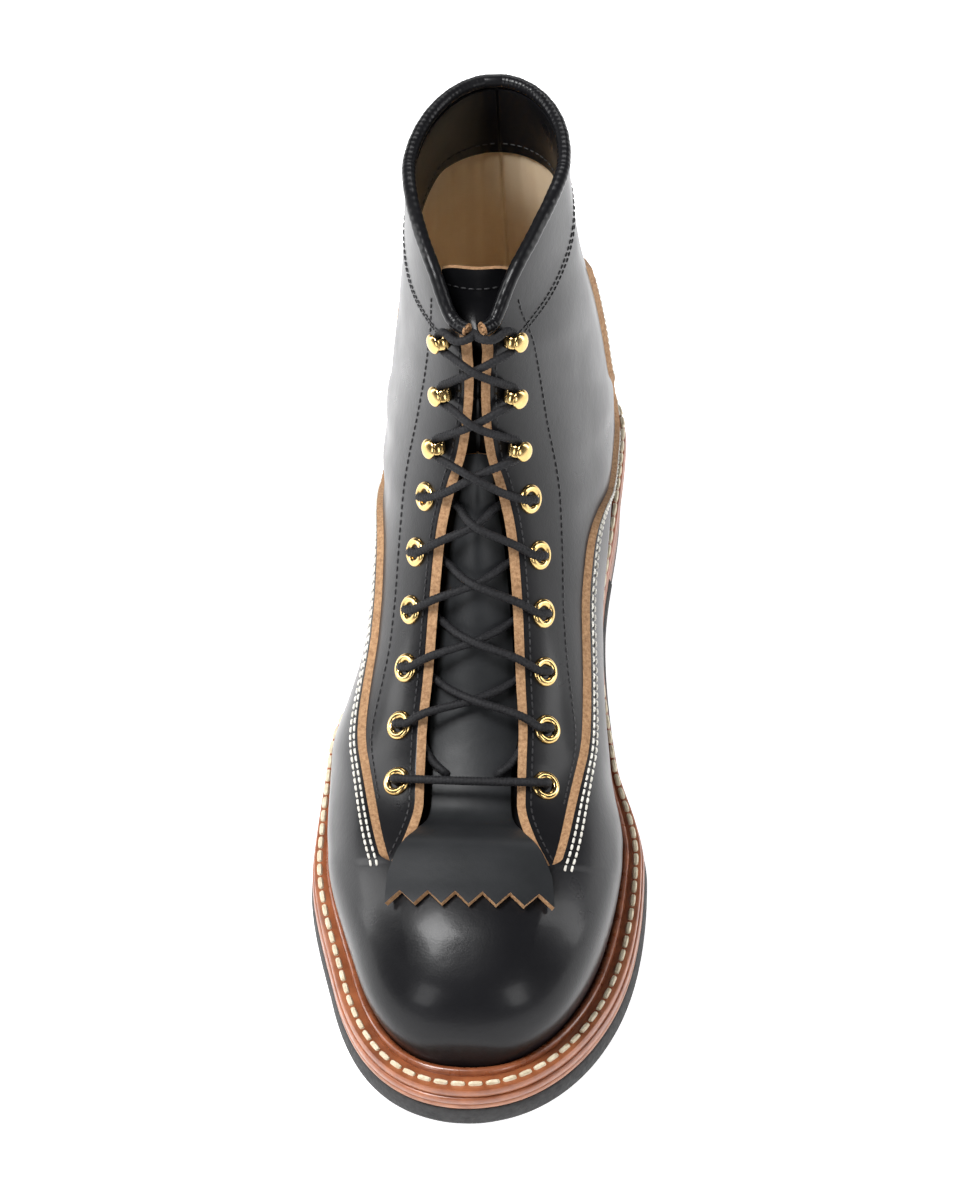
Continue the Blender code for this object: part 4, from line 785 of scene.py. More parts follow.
# Columns: pitch, share of it that shows, radius, thread, how deep the ends sink and how high the middle
# rises as shares of the radius
STITCH_ROWS = {
    "welt_stitches": (0.0057, 0.86, 0.00092, "welt_thread", 0.5, 0.25),
    "vamp_stitches": (0.0030, 0.76, 0.00045, "white_thread", 0.5, 0.35),
    "facing_stitches": (0.0026, 0.74, 0.00030, "black_thread", 0.5, 0.35),
    "tongue_stitches": (0.0026, 0.74, 0.00030, "black_thread", 0.3, 0.25),
    "band_stitches": (0.0026, 0.70, 0.00026, "black_thread", 0.3, 0.25),
}


def stitches(name, lines):
    """Rows of stitches. lines holds (points, normals); each stitch is a small bowed capsule."""
    pitch, share, radius, thread, sink, rise = STITCH_ROWS[name]
    steps, swell = STITCH.T
    angles = full_turn(STITCH_SIDES)
    faces = capped_faces(len(steps), STITCH_SIDES)
    lift = radius * (rise - (rise + sink) * (1 - swell) / (1 - swell[0]))
    capsules = []
    for line, normals in lines:
        path, at = resample(line, pitch / 12)
        up = read_path(at, lengths(line), normals)
        for n in range(int(at[-1] / pitch)):
            where = (n + steps * share) * pitch
            centre, high = read_path(where, at, path), unit(read_path(where, at, up))
            across = np.cross(unit(centre[-1] - centre[0]), high)
            rings = (centre + high * lift[:, None])[:, None] + (radius * swell)[:, None, None] * spread(
                angles, across[:, None], high[:, None]
            )
            capsules.append((rings.reshape(-1, 3), faces))
    return make_object(name, *joined(capsules), [thread], weld=0)


def surface_line(places, arounds, side, out):
    """Points and normals of a line on the upper."""
    points = offset_surface(places, arounds, side, out - crease_depth(places, arounds, side))
    return points, surface_normal(places, arounds, side)


def shifted_around(place, around, side, distance):
    """The share round the section a distance further from the top line."""
    step = 0.004
    moved = surface(place, around + step, side) - surface(place, around, side)
    return around + step * distance / np.maximum(np.linalg.norm(moved, axis=-1), 1e-7)


def throat_point(place, x, height):
    """A point at x from the middle plane and a height over the upper's surface."""
    return offset_surface(place, around_at(place, np.abs(x)), np.where(x < 0, -1, 1), height)


# The upper

RAW_WIDTH = 0.0024
VAMP_RAW_WIDTH = 0.0026
QUARTER_UNDER = -0.0015
UNDERLAP = 0.03
THROAT_CLEAR = 0.0006


def make_vamp():
    """Vamp, its wings and the counter as one sheet over the quarters, with a raw bevelled edge."""
    front = np.concatenate([np.linspace(0, 0.06, 26)[:-1], np.linspace(0.06, THROAT_PLACE, 70)])
    places = np.concatenate([front, np.linspace(THROAT_PLACE, COUNTER_PLACE, 171)[1:]])[:, None]
    centre_columns, side_columns = 20, 60
    edge = np.where(places > THROAT_PLACE, np.maximum(overlay_edge(places), CORNER), CORNER)
    fade = smoothstep(THROAT_PLACE, THROAT_PLACE + 0.01, places)
    centre = np.tile(np.linspace(0, CORNER, centre_columns + 1)[:-1], (len(places), 1))
    share = np.linspace(0, 1, side_columns + 1)

    def build(side):
        cut = (shifted_around(places, edge, side, VAMP_RAW_WIDTH) - edge) * fade
        top = np.concatenate([centre, edge + cut + (1 - edge - cut) * share], axis=1)
        under = np.concatenate([centre, edge + (1 - edge) * share], axis=1)
        rows = np.broadcast_to(places, top.shape)
        top_rows = np.minimum(rows, COUNTER_PLACE - 0.006)
        low = overlay_lift(rows, under) - OVERLAY_STEP - 0.0001
        low = np.where(rows <= THROAT_PLACE, QUARTER_UNDER, low)
        dent = crease_depth(rows, top, side)
        outer = offset_surface(top_rows, top, side, overlay_lift(top_rows, top) - dent)
        return outer, offset_surface(rows, under, side, low - dent)

    outer, inner, cells, middle = both_sides(build)
    cells[len(front) - 1 :, middle - centre_columns - 1 : middle + centre_columns] = False
    return shell("vamp", outer, inner, LEATHER_SHEET, cells)


def make_quarters():
    """Quarters with the facings, up to the collar; the throat edges are raw and bevelled."""
    joint = COUNTER_PLACE - 0.015
    low = np.linspace(THROAT_PLACE - 0.006, joint, 150)
    places = np.concatenate([low, np.linspace(joint, 1.0, 36)[1:]])[:, None]
    face_columns, back_columns = 50, 40
    start = around_at(places, throat_gap(places))
    cut = around_at(places, throat_gap(places) + RAW_WIDTH) - start
    end = np.maximum(np.maximum(overlay_edge(places), CORNER) + UNDERLAP, start + cut + 0.01)
    share = np.linspace(0, 1, face_columns + 1)
    rest = np.linspace(end[:, 0], 1, back_columns + 1)[1:].T
    top = np.concatenate([start + cut + (end - start - cut) * share, rest], axis=1)
    under = np.concatenate([start + (end - start) * share, rest], axis=1)
    edge = np.maximum(overlay_edge(places), CORNER)
    rows, low_rows = dipped(places, top), dipped(places, under)
    tuck = 0.0004 * smoothstep(0.004, 0.02, top - edge) * (rows < COUNTER_PLACE)
    tuck = tuck + 0.0012 * (1 - smoothstep(THROAT_PLACE - 0.006, THROAT_PLACE + 0.006, rows))

    def build(side):
        dip = crease_depth(places, top, side) + tuck
        outer = offset_surface(rows, top, side, -dip)
        return outer, offset_surface(low_rows, under, side, QUARTER_UNDER - dip)

    outer, inner, cells, middle = both_sides(build)
    cells[:, middle - 1] = False
    cells[: len(low) - 1, :back_columns] = False
    cells[: len(low) - 1, -back_columns:] = False
    return shell("quarters", outer, inner, ("black_leather", "black_leather", "raw_edge"), cells)


def make_lining():
    """The tan lining inside the wall, with soft upright wrinkles below the collar."""
    places = np.linspace(0.06, 0.985, 150)[:, None]
    start = np.where(places > THROAT_PLACE, around_at(places, throat_gap(places) + 2 * THROAT_CLEAR), 0.0)
    around = start + (1 - start) * np.linspace(0, 1, 71)
    wave = 0.00022 * np.sin(around * 95 + 3 * np.sin(places * 9)) * smoothstep(0.70, 0.85, places)
    wave = wave * smoothstep(1.0, 0.9, around) * smoothstep(0.15, 0.35, around)
    rows = dipped(places, around)

    def build(side):
        dent = crease_depth(rows, around, side)
        outer = offset_surface(rows, around, side, QUARTER_UNDER - 0.0001 - dent)
        return outer, offset_surface(rows, around, side, wave - LEATHER - dent)

    outer, inner, cells, middle = both_sides(build)
    cells[places[:-1, 0] >= THROAT_PLACE, middle - 1] = False
    return shell("lining", outer, inner, ["lining_leather"] * 3, cells)


def band_place(around):
    """Lower edge of the black band inside the collar."""
    return 0.80 + 0.158 * smoothstep(0.0, 0.75, around)


def make_collar_band():
    """The black leather band inside the collar."""
    around = np.linspace(float(around_at(1.0, throat_gap(1.0) + THROAT_CLEAR)), 1, 91)
    low = band_place(around)
    place = low + (1 - low) * np.linspace(0, 1, 16)[:, None]
    around = np.maximum(around, around_at(place, throat_gap(place) + THROAT_CLEAR))
    place = dipped(place, around)
    outer, inner, cells, middle = both_sides(
        lambda side: [offset_surface(place, around, side, -LEATHER - depth) for depth in (0.0001, 0.0010)]
    )
    cells[:, middle - 1] = False
    return shell("collar_band", outer, inner, ["black_leather"] * 3, cells)


def binding_path(count=260):
    """The middle of the rolled edge, from the lateral facing round the back to the medial one."""
    around = np.linspace(float(around_at(1.0, throat_gap(1.0))), 1.0, count)
    places = dipped(1.0, around)
    sides = []
    for side in (-1, 1):
        edge = offset_surface(places, around, side, -LEATHER / 2)
        away = np.cross(surface_normal(places, around, side), np.gradient(edge, axis=0))
        away = unit(away * np.sign(away[:, 2:]))
        away[-1] = (0.0, 0.0, 1.0)
        path = edge + away * (BINDING_RADIUS + 0.5 * GAP)
        sides.append(path[np.abs(path[:, 0]) > BINDING_RADIUS + 0.0001])
    return np.concatenate([sides[0], sides[1][-2::-1]])


def make_binding():
    """The rolled edge round the collar, slightly puckered, its two ends cut off raw."""
    path = binding_path()
    k = np.arange(len(path))[:, None]
    radii = BINDING_RADIUS * (1 + 0.02 * np.sin(k * 1.3) + 0.015 * np.sin(k * 0.41))
    points, faces = tube(path, radii, 20)
    slots = [0] * (len(faces) - 2) + [1, 1]
    return make_object("collar_roll", points, faces, ["black_leather", "raw_edge"], slots)


def make_roll_ends():
    """The coiled raw ends of the rolled edge beside the throat."""
    path = binding_path()
    turns = np.linspace(0.25, 2.15, 60) * 2 * math.pi
    radii = BINDING_RADIUS * 0.95 * turns / turns[-1]
    coils = []
    for end, inner in ((path[0], path[2]), (path[-1], path[-3])):
        ahead = unit(end - inner)
        across = unit(np.cross(ahead, (0.0, 0.0, 1.0)))
        coil = end + ahead * 0.00005 + radii[:, None] * spread(turns, across, np.cross(across, ahead))
        coils.append(tube(coil, 0.00042, 8))
    return make_object("roll_ends", *joined(coils), ["raw_edge"], weld=0)


# Kiltie and tongue

UNDER_FACING = -LEATHER - 2 * GAP - 0.0003 - LACE_RADIUS - 0.0003


def kiltie_offset(place, sunk):
    on_top = np.where(place > THROAT_PLACE, OVERLAY_STEP, overlay_lift(place, np.zeros_like(place)))
    on_top = on_top + GAP + SHEET
    below = UNDER_FACING - LACE_RADIUS - 2 * GAP
    return on_top + (below - on_top) * smoothstep(0, 1, sunk)


def make_kiltie():
    """The notched false tongue: teeth over the vamp, then under the laces between the facings."""
    half_width_at, sunk_at = column(KILTIE), column(KILTIE, 3)
    per_tooth, rows = 16, 130
    columns = (KILTIE_TEETH - 1) * per_tooth + 1
    across = np.linspace(-1, 1, columns)
    tooth = np.abs((np.arange(columns) / (per_tooth / 2)) % 2 - 1)
    first = KILTIE_NOTCH_PLACE + (KILTIE_TIP_PLACE - KILTIE_NOTCH_PLACE) * tooth
    place = first + (KILTIE[-1][1] - first) * np.linspace(0, 1, rows)[:, None] ** 1.15
    corner = KILTIE[0][1]
    straight = np.clip((place - KILTIE_NOTCH_PLACE) / (corner - KILTIE_NOTCH_PLACE), 0, 1)
    half = half_width_at(np.maximum(place, corner))
    x = across * (KILTIE_TEETH_HALF + (half - KILTIE_TEETH_HALF) * straight)
    curl = 0.0005 * smoothstep(0.26, KILTIE_TIP_PLACE, place)
    curl = curl + 0.0006 * np.abs(across) ** 3 * smoothstep(0.33, 0.29, place)
    high = kiltie_offset(place, sunk_at(place)) + curl
    outer, inner = (throat_point(place, x, high - under) for under in (0, SHEET))
    return shell("kiltie_strap", outer, inner, ("kiltie_leather", *LEATHER_SHEET[1:]), sharp=35)


def tongue_points(place, across, extra):
    under_kiltie = -UNDER_FACING + LACE_RADIUS + SHEET + 5 * GAP
    under_facing = LEATHER + 10 * GAP
    half = column(TONGUE)(place)
    x = across * half
    depth = under_kiltie + (under_facing - under_kiltie) * smoothstep(0.69, 0.77, place)
    base, left, right = (throat_point(place, reach, -depth) for reach in (x, -half, half))
    share = ((across + 1) / 2)[..., None]
    level = left * (1 - share) + right * share
    level[..., 1] -= TONGUE_BOW * (1 - across**2)
    flat = smoothstep(0.77, 0.95, place)[..., None]
    normal = surface_normal(place, around_at(place, np.abs(x)), np.where(x < 0, -1, 1)) * (1 - flat)
    normal = unit(normal + surface_normal(place, 0 * x, 1) * flat)
    found = base + (level - base) * flat + normal * extra
    found[..., 2] -= TONGUE_DROP * smoothstep(0.86, 1.0, place)
    return found


def make_tongue():
    across = np.tile(np.linspace(-1, 1, 49), (120, 1))
    place = np.linspace(TONGUE[0][1], 1.0, 120)[:, None]
    place = place - 0.012 * across**4 * smoothstep(0.9, 1.0, place)
    outer, inner = (tongue_points(place, across, extra) for extra in (0.0, -SHEET))
    return shell("tongue_sheet", outer, inner, LEATHER_SHEET)


# Eyelets, hooks and lace


def lacing_rows():
    """Place and distance from the middle plane of each row of eyelets, then of hooks."""
    places = np.linspace(FIRST_EYELET_PLACE, 0.99, 500)
    path = surface(places, around_at(places, throat_gap(places) + EYELET_SETBACK), 1)
    wanted = ROW_SPACING * np.arange(EYELET_ROWS + HOOK_ROWS)
    setbacks = [EYELET_SETBACK] * EYELET_ROWS + [HOOK_SETBACK] * HOOK_ROWS
    found = np.interp(wanted, lengths(path), places)
    return [(float(place), float(throat_gap(place)) + back) for place, back in zip(found, setbacks)]


def frame_at(place, x, side):
    """Centre, outward normal, direction away from the throat and direction up the throat."""
    around = around_at(place, x)
    normal = surface_normal(place, around, side)
    outward = surface(place, around + 0.01, side) - surface(place, around - 0.01, side)
    outward = unit(outward - normal * (outward @ normal))
    upward = np.cross(normal, outward)
    return surface(place, around, side), normal, outward, upward * (1 if upward[2] > 0 else -1)


def revolve(profile, frame_here, sides):
    """Points and faces of a closed profile of (radius, height) turned round a frame's normal."""
    centre, normal, outward, upward = frame_here
    around = spread(full_turn(sides), outward, upward)
    radii, heights = np.array(profile).T
    points = centre + around[:, None, :] * radii[:, None] + normal * heights[:, None]
    return points.reshape(-1, 3), ring_faces(sides, len(profile), closed=True)


def arc_profile(centre_radius, centre_height, radius, height, start, end):
    turns = np.radians(np.linspace(start, end, 12))
    return [(centre_radius + radius * math.cos(t), centre_height + height * math.sin(t)) for t in turns]


EYELET_RIM = 0.0013
BARREL_END = -0.0030


def make_eyelet(name, place, x, side):
    """A brass ring with a rolled rim and a barrel through the leather."""
    hole, outer = EYELET_HOLE_RADIUS, EYELET_RADIUS + 0.0001
    barrel, flare = hole + 0.0006, hole + 0.0012
    profile = [(radius, BARREL_END) for radius in (hole, flare)]
    profile += [(radius, BARREL_END + 0.0004) for radius in (flare, barrel)]
    profile += [(barrel, -0.0002), (outer - 0.0001, -0.0002)]
    profile += arc_profile((hole + outer) / 2, 0.0001, (outer - hole) / 2, EYELET_RIM - 0.0001, 0, 180)
    points, faces = revolve(profile, frame_at(place, x, side), 40)
    return make_object(name, points, faces, ["brass"], sharp=60)


HOOK_UNDER = 2 * LACE_RADIUS + 4 * GAP + 0.0002
HOOK_PLATE = 0.0009
HOOK_BACK = 0.0010
# Columns: distance outward, half width of the hook's foot
HOOK_FOOT = ((0.0036, 0.0006), (0.0034, 0.0015), (0.0026, 0.0024), (0.0010, 0.0029), (-0.0008, 0.0025))
# The plate's section, with bevelled edges. Columns: share of the half width, share of half the thickness.
HOOK_SECTION = np.array(
    [(-1, -0.6), (-0.82, -1), (0.82, -1), (1, -0.6), (1, 0.6), (0.82, 1), (-0.82, 1), (-1, 0.6)]
)


def make_hook(name, place, x, side):
    """A hook bent from one plate, with a domed round button."""
    frame_here = frame_at(place, x, side)
    centre, normal, outward, upward = frame_here
    low = GAP + HOOK_PLATE / 2
    high = low + HOOK_PLATE + HOOK_UNDER
    bend, middle, neck = (high - low) / 2, (high + low) / 2, HOOK_NECK_HALF_WIDTH
    line = [(out, low, half) for out, half in HOOK_FOOT]
    for turn in np.radians(range(10, 171, 20)):
        line.append((-HOOK_BACK - bend * math.sin(turn), middle - bend * math.cos(turn), neck))
    line.append((0.0005, high, neck * 1.1))
    outs, rises, halves = np.array(line).T[..., None]
    along = headings(np.array(line)[:, :2])
    across, off = HOOK_SECTION.T
    off = off * HOOK_PLATE / 2
    outs, rises = outs - along[:, 1:] * off, rises + along[:, :1] * off
    points = centre + outs[..., None] * outward + rises[..., None] * normal
    points = (points + (halves * across)[..., None] * upward).reshape(-1, 3)
    button = HOOK_BUTTON_RADIUS
    profile = [(0.00001, high - 0.0004), (button * 0.75, high - 0.0005), (button * 0.95, high - 0.0003)]
    profile += arc_profile(0.0, high, button, 0.0014, 4, 89.8)
    plate = (points, capped_faces(len(line), len(HOOK_SECTION)))
    return make_object(name, *joined([plate, revolve(profile, frame_here, 36)]), ["brass"], weld=0)


OVER_UNDER = 0.0015
OVER_EDGE = LACE_RADIUS + 4 * GAP


def through_eyelet(place, x, side):
    """The lace's way up through an eyelet and over its rim."""
    centre, normal, outward, _ = frame_at(place, x, side)
    over = EYELET_RIM + LACE_RADIUS + 2 * GAP
    under = UNDER_FACING - 0.0002
    # Columns: distance outward, height
    steps = (
        (-0.0040, under), (0.0, under), (0.0, -0.0015), (0.0, over), (-0.0030, over), (-0.0054, over * 0.9)
    )
    return [centre + outward * out + normal * height for out, height in steps]


def round_hook(place, x, side):
    """The lace's way round a hook's neck, under its button."""
    centre, normal, outward, upward = frame_at(place, x, side)
    clear = HOOK_NECK_HALF_WIDTH + LACE_RADIUS + GAP
    level = 2 * GAP + HOOK_PLATE + LACE_RADIUS + GAP
    behind = -HOOK_BACK + LACE_RADIUS + GAP
    # Columns: distance outward, distance up the throat
    half = [(-0.0046, clear + 0.0006), (-0.0016, clear), (behind, 0.55 * clear)]
    steps = [(out, -up) for out, up in half] + [(behind + 0.0008, 0.0)] + half[::-1]
    return [centre + outward * out + upward * up + normal * level for out, up in steps]


def crossing(start, end, side, lift):
    """The lace's way over one facing, across the throat and under the other facing."""
    gap_from, gap_to = float(throat_gap(start)), float(throat_gap(end))
    # Columns: share of the way up, x towards the side it starts from, height
    steps = (
        (0.12, gap_from + 0.0022, OVER_EDGE),
        (0.24, gap_from - 0.0016, OVER_EDGE - GAP),
        (0.48, 0.0, lift - 0.0004),
        (0.66, -gap_to * 0.60, -0.0034 + 0.3 * lift),
        (0.78, -gap_to * 0.92, UNDER_FACING),
        (0.90, -gap_to - 0.003, UNDER_FACING),
    )
    return [throat_point(start + share * (end - start), side * x, height) for share, x, height in steps]


def lace_half(rows, side):
    """One half of the lace, from its slot in the kiltie to the top hook."""
    eyelets, hooks = rows[:EYELET_ROWS], rows[EYELET_ROWS:]
    slot_x = side * KILTIE_SLOT_X
    path = [throat_point(KILTIE_SLOT_PLACE, slot_x, UNDER_FACING + rise) for rise in (-0.0022, 0.0002)]
    path.append(throat_point(KILTIE_SLOT_PLACE + 0.012, side * float(throat_gap(0.41)), UNDER_FACING))
    for row, (place, x) in enumerate(eyelets[1:], 2):
        path.extend(through_eyelet(place, x, side))
        if row < EYELET_ROWS:
            path.extend(crossing(place, eyelets[row][0], side, OVER_UNDER * side))
            side = -side
    path.append(throat_point(place + 0.007, side * float(throat_gap(place)), OVER_EDGE))
    path.append(throat_point((place + hooks[0][0]) / 2, 0.0, 0.0038 + OVER_UNDER * side))
    for row, (place, x) in enumerate(hooks, 1):
        side = -side
        path.extend(round_hook(place, x, side))
        if row < HOOK_ROWS:
            path.append(throat_point((place + hooks[row][0]) / 2, 0.0, 0.0046 + OVER_UNDER * side))
    for up, x, height in ((0.012, 0.0042, 0.0036), (0.016, 0.0012, 0.0016), (0.017, 0.0001, -0.0028)):
        path.append(throat_point(place + up, side * x, height))
    return path


def lace_bar(place, x):
    """The first straight bar, from one lowest eyelet to the other."""
    middle = [throat_point(place, share * x, 0.0024) for share in (-0.3, 0.3)]
    return through_eyelet(place, x, -1) + middle + through_eyelet(place, x, 1)[::-1]


def make_cord(name, route):
    """A braided round cord: rings whose bumps lie in a brick pattern."""
    path, at = resample(cut_corners(route, 4), 0.00036)
    sides, bumps, repeat = 20, 5, 0.0023
    turn = 2 * math.pi * at[:, None] / repeat
    around = bumps * full_turn(sides)
    weave = np.cos(around + turn) * np.cos(around - turn)
    points, faces = tube(path, LACE_RADIUS * (0.93 + 0.13 * weave), sides)
    return make_object(name, points, faces, ["braided_cord"], weld=0, sharp=180)


# The sole

SOLE_ARCS = np.linspace(0, 1, 260)


def beyond(extra):
    return lambda share: welt_margin(share) + extra


def above(base, height):
    return lambda run: base(run) + height


def wall_reach(arcs, side, height):
    """How far the upper stands out past the feather line at a height above it."""
    fan = np.linspace(0, HEEL_BACK_PLACE, 400)
    places = np.interp(arcs, fan_foot(fan), fan)
    around = np.linspace(1.0, 0.55, 24)[:, None]
    base = edge_line(0.0, arcs, side)
    outward = (edge_line(0.001, arcs, side) - base) / 0.001
    points = offset_surface(places, around, side, overlay_lift(places, around))
    plan = np.stack([points[..., 0] - base[:, 0], points[..., 1] - to_y(base[:, 1])], axis=-1)
    reach = (plan * outward).sum(axis=-1)
    rise = points[..., 2] - feather_rise(base[:, 1])
    return np.array([np.interp(height, rise[:, n], reach[:, n]) for n in range(len(arcs))])


def make_welt():
    """Welt with its raised, rounded storm bead against the upper. Also the stitch line on each side."""
    thick, bead, width = WELT_THICKNESS, BEAD_HEIGHT, BEAD_WIDTH
    margin = welt_margin((feather_at(SOLE_ARCS)[0] - TOE_MARGIN) / FEATHER_LENGTH)
    low, high = (
        [np.maximum(wall_reach(SOLE_ARCS, side, rise), 0) for side in (-1, 1)]
        for rise in (thick, thick + bead)
    )
    room = np.clip((margin - np.maximum(*high) - 0.0009) / width, 0.35, 1.0)
    edge = [np.maximum(margin, each + 0.0022) for each in low]
    foot = [
        np.minimum(start + width * (0.35 + 0.65 * room) + 0.0004, end - 0.0010)
        for start, end in zip(low, edge)
    ]
    levels = [(-0.001, feather_rise)]
    # Columns: line, distance inwards from it, height
    for line, inset, rise in (
        (edge, 0.0004, 0.0),
        (edge, 0.0, 0.0004),
        (edge, 0.0, thick - 0.0008),
        (edge, 0.0005, thick),
        (foot, -0.0006, thick),
        (foot, -0.0002, thick - 0.0003),
        (foot, 0.0, thick - 0.0003),
    ):
        levels.append((tuple(each - inset for each in line), above(feather_rise, rise)))
    slots = [0] * len(levels) + [1] * 10
    for turn in np.linspace(0.05, 1.0, 9) * math.pi:
        outs = []
        for start, end, top in zip(low, foot, high):
            bulk = (end - start) / 2
            lean = (top - start) * math.sin(turn) * 0.8
            outs.append(start + bulk + bulk * math.cos(turn) + lean)
        rise = bead * math.sin(turn) * room + (thick - 0.0003)
        levels.append((tuple(outs), above(feather_rise, rise)))
    levels.append((tuple(each - 0.0012 for each in low), above(feather_rise, thick * 0.5)))
    rings = ring_rows(levels, SOLE_ARCS)
    piece = stack_rings("welt_strip", rings, ["welt_leather", "bead_leather"], slots, caps=False, sharp=60)
    return piece, [(start + end) / 2 + 0.0001 for start, end in zip(edge, foot)]


def make_welt_stitches(middles):
    rise = above(feather_rise, WELT_THICKNESS)
    left, right = (rim(out, rise, SOLE_ARCS, side) for out, side in zip(middles, (-1, 1)))
    line = np.concatenate([left[::-1], right[1:]])
    up = np.tile([0.0, 0.0, 1.0], (len(line), 1))
    return stitches("welt_stitches", [(line, up)])


def make_midsole():
    """Two bands of leather with a groove between them."""
    thick = MIDSOLE_THICKNESS
    # Columns: distance outwards, height, band
    rows = (
        (-0.001, 0.0, 0),
        (0.0004, 0.0001, 0),
        (0.0008, 0.0006, 0),
        (0.0009, 0.44 * thick, 0),
        (0.0006, 0.49 * thick, 1),
        (0.0008, 0.54 * thick, 1),
        (0.0006, thick - 0.0006, 1),
        (0.0002, thick - 0.0001, 1),
        (-0.001, thick, 1),
    )
    rings = ring_rows([(beyond(out), above(midsole_under, rise)) for out, rise, _ in rows], SOLE_ARCS)
    bands = [row[2] for row in rows]
    return stack_rings("midsole_layers", rings, ["midsole_leather", "welt_leather"], bands, sharp=60)


def outsole_under(run):
    runs = {row[0]: row[1] * SOLE_LENGTH for row in SOLE_PROFILE}
    thin = smoothstep(runs["tread back"], runs["waist back"], run)
    thickness = OUTSOLE_THICKNESS + (OUTSOLE_WAIST_THICKNESS - OUTSOLE_THICKNESS) * thin
    return midsole_under(run) - GAP - thickness


def make_outsole():
    """Rubber forefoot and waist up to the heel's breast, with a softened tread edge."""
    arcs = SOLE_ARCS[feather_at(SOLE_ARCS)[0] < SOLE_LENGTH - HEEL_SEAT_LENGTH - 0.0015]

    def between(share):
        return lambda run: outsole_under(run) * (1 - share) + (midsole_under(run) - GAP) * share

    # Columns: distance outwards, share of the thickness
    flare = OUTSOLE_FLARE
    rows = (
        (flare - 0.0022, 0.0),
        (flare - 0.0009, 0.02),
        (flare - 0.0002, 0.12),
        (flare, 0.24),
        (0.0009, 0.90),
        (0.0004, 0.98),
        (-0.001, 1.0),
    )
    rings = ring_rows([(beyond(out), between(share)) for out, share in rows], arcs)
    return stack_rings("tread", rings, ["tread_rubber"], sharp=50)


def make_insole():
    def edge(share):
        return -LEATHER - 3 * GAP - 0.0012 * smoothstep(0.72, 0.95, share)

    top = above(feather_rise, INSOLE_THICKNESS)
    side = above(feather_rise, INSOLE_THICKNESS - 0.0005)
    levels = [(edge, feather_rise), (edge, side), (lambda share: edge(share) - 0.0006, top)]
    return stack_rings("insole_sheet", ring_rows(levels, SOLE_ARCS), ["lining_leather"])


def heel_lines(count=60):
    """Plan points round the heel at the seat and on the floor."""
    seat_front = SOLE_LENGTH - HEEL_SEAT_LENGTH
    tread_front = SOLE_LENGTH - HEEL_BACK_RAKE - HEEL_TREAD_LENGTH
    sides = []
    for side in (-1, 1):
        points = edge_line(welt_margin, np.linspace(0.60, 1, 240), side)
        corner = [np.interp(seat_front, points[:, 1], points[:, 0]), seat_front]
        whole = np.concatenate([[corner], points[points[:, 1] > seat_front]])
        length = lengths(whole)
        sides.append(read_path(np.linspace(0, length[-1], count), length, whole))
    seat = np.concatenate([sides[0], sides[1][-2::-1]])
    share = (seat[:, 1] - seat_front) / HEEL_SEAT_LENGTH
    middle = float(plan_centre(0.9))
    half = np.abs(seat[:, 0] - middle).max()
    across = middle + (seat[:, 0] - middle) * (1 - HEEL_SIDE_RAKE / half)
    return seat, np.stack([across, tread_front + share * HEEL_TREAD_LENGTH], axis=1)


def make_heel_piece(name, finishes, low, high, layers):
    """The heel between two heights, with a fine groove between its lifts. No high means up to the seat."""
    seat, floor = heel_lines()
    seat_rise = midsole_under(seat[:, 1]) - GAP
    top = seat_rise if high is None else np.full(len(seat), high)
    middle = np.array([float(plan_centre(0.9)), SOLE_LENGTH - HEEL_SEAT_LENGTH / 2])
    # Columns: share of the height, size in plan
    shares = []
    for layer in range(layers):
        shares += [((layer + up) / layers, size) for up, size in ((0, 0.994), (0.08, 1.0), (0.92, 1.0))]
    shares.append((1.0, 0.994))
    rings = []
    for share, size in shares:
        rise = low + (top - low) * share
        plan = middle + (floor + (seat - floor) * (rise / seat_rise)[:, None] - middle) * size
        rings.append(np.stack([plan[:, 0], to_y(plan[:, 1]), rise], axis=-1))
    slots = [k // 3 % len(finishes) for k in range(len(shares))]
    return stack_rings(name, rings, finishes, slots, mirror=1, sharp=35)


# Stitches on the upper. Columns: place, share round of the row outside the eyelets; share round, place of
# the cuff's lower row.
EYELET_STITCHES = (
    ("bottom", 0.36, 0.205),
    ("first eyelet", 0.44, 0.262),
    ("third eyelet", 0.483, 0.266),
    ("fourth eyelet", 0.566, 0.257),
    ("sixth eyelet", 0.65, 0.245),
    ("first hook", 0.734, 0.208),
    ("second hook", 0.82, 0.20),
    ("top", 0.96, 0.20),
)
CUFF_STITCHES = (
    ("front", 0.16, 0.868),
    ("flank", 0.224, 0.888),
    ("flank top", 0.297, 0.906),
    ("side", 0.402, 0.930),
    ("side back", 0.517, 0.950),
    ("quarter", 0.70, 0.962),
    ("back", 1.0, 0.968),
)


def make_vamp_stitches():
    """Two white rows outside the raw edges of the vamp and the counter."""
    lines = []
    for side in (-1, 1):
        for distance in (0.0046, 0.0072):
            for start, end, count in ((THROAT_PLACE - 0.004, 0.69, 300), (0.70, COUNTER_PLACE - 0.01, 160)):
                places = np.linspace(start, end, count)
                edge = np.maximum(overlay_edge(places), CORNER)
                arounds = shifted_around(places, edge, side, distance)
                lines.append(surface_line(places, arounds, side, overlay_lift(places, arounds)))
    return stitches("vamp_stitches", lines)


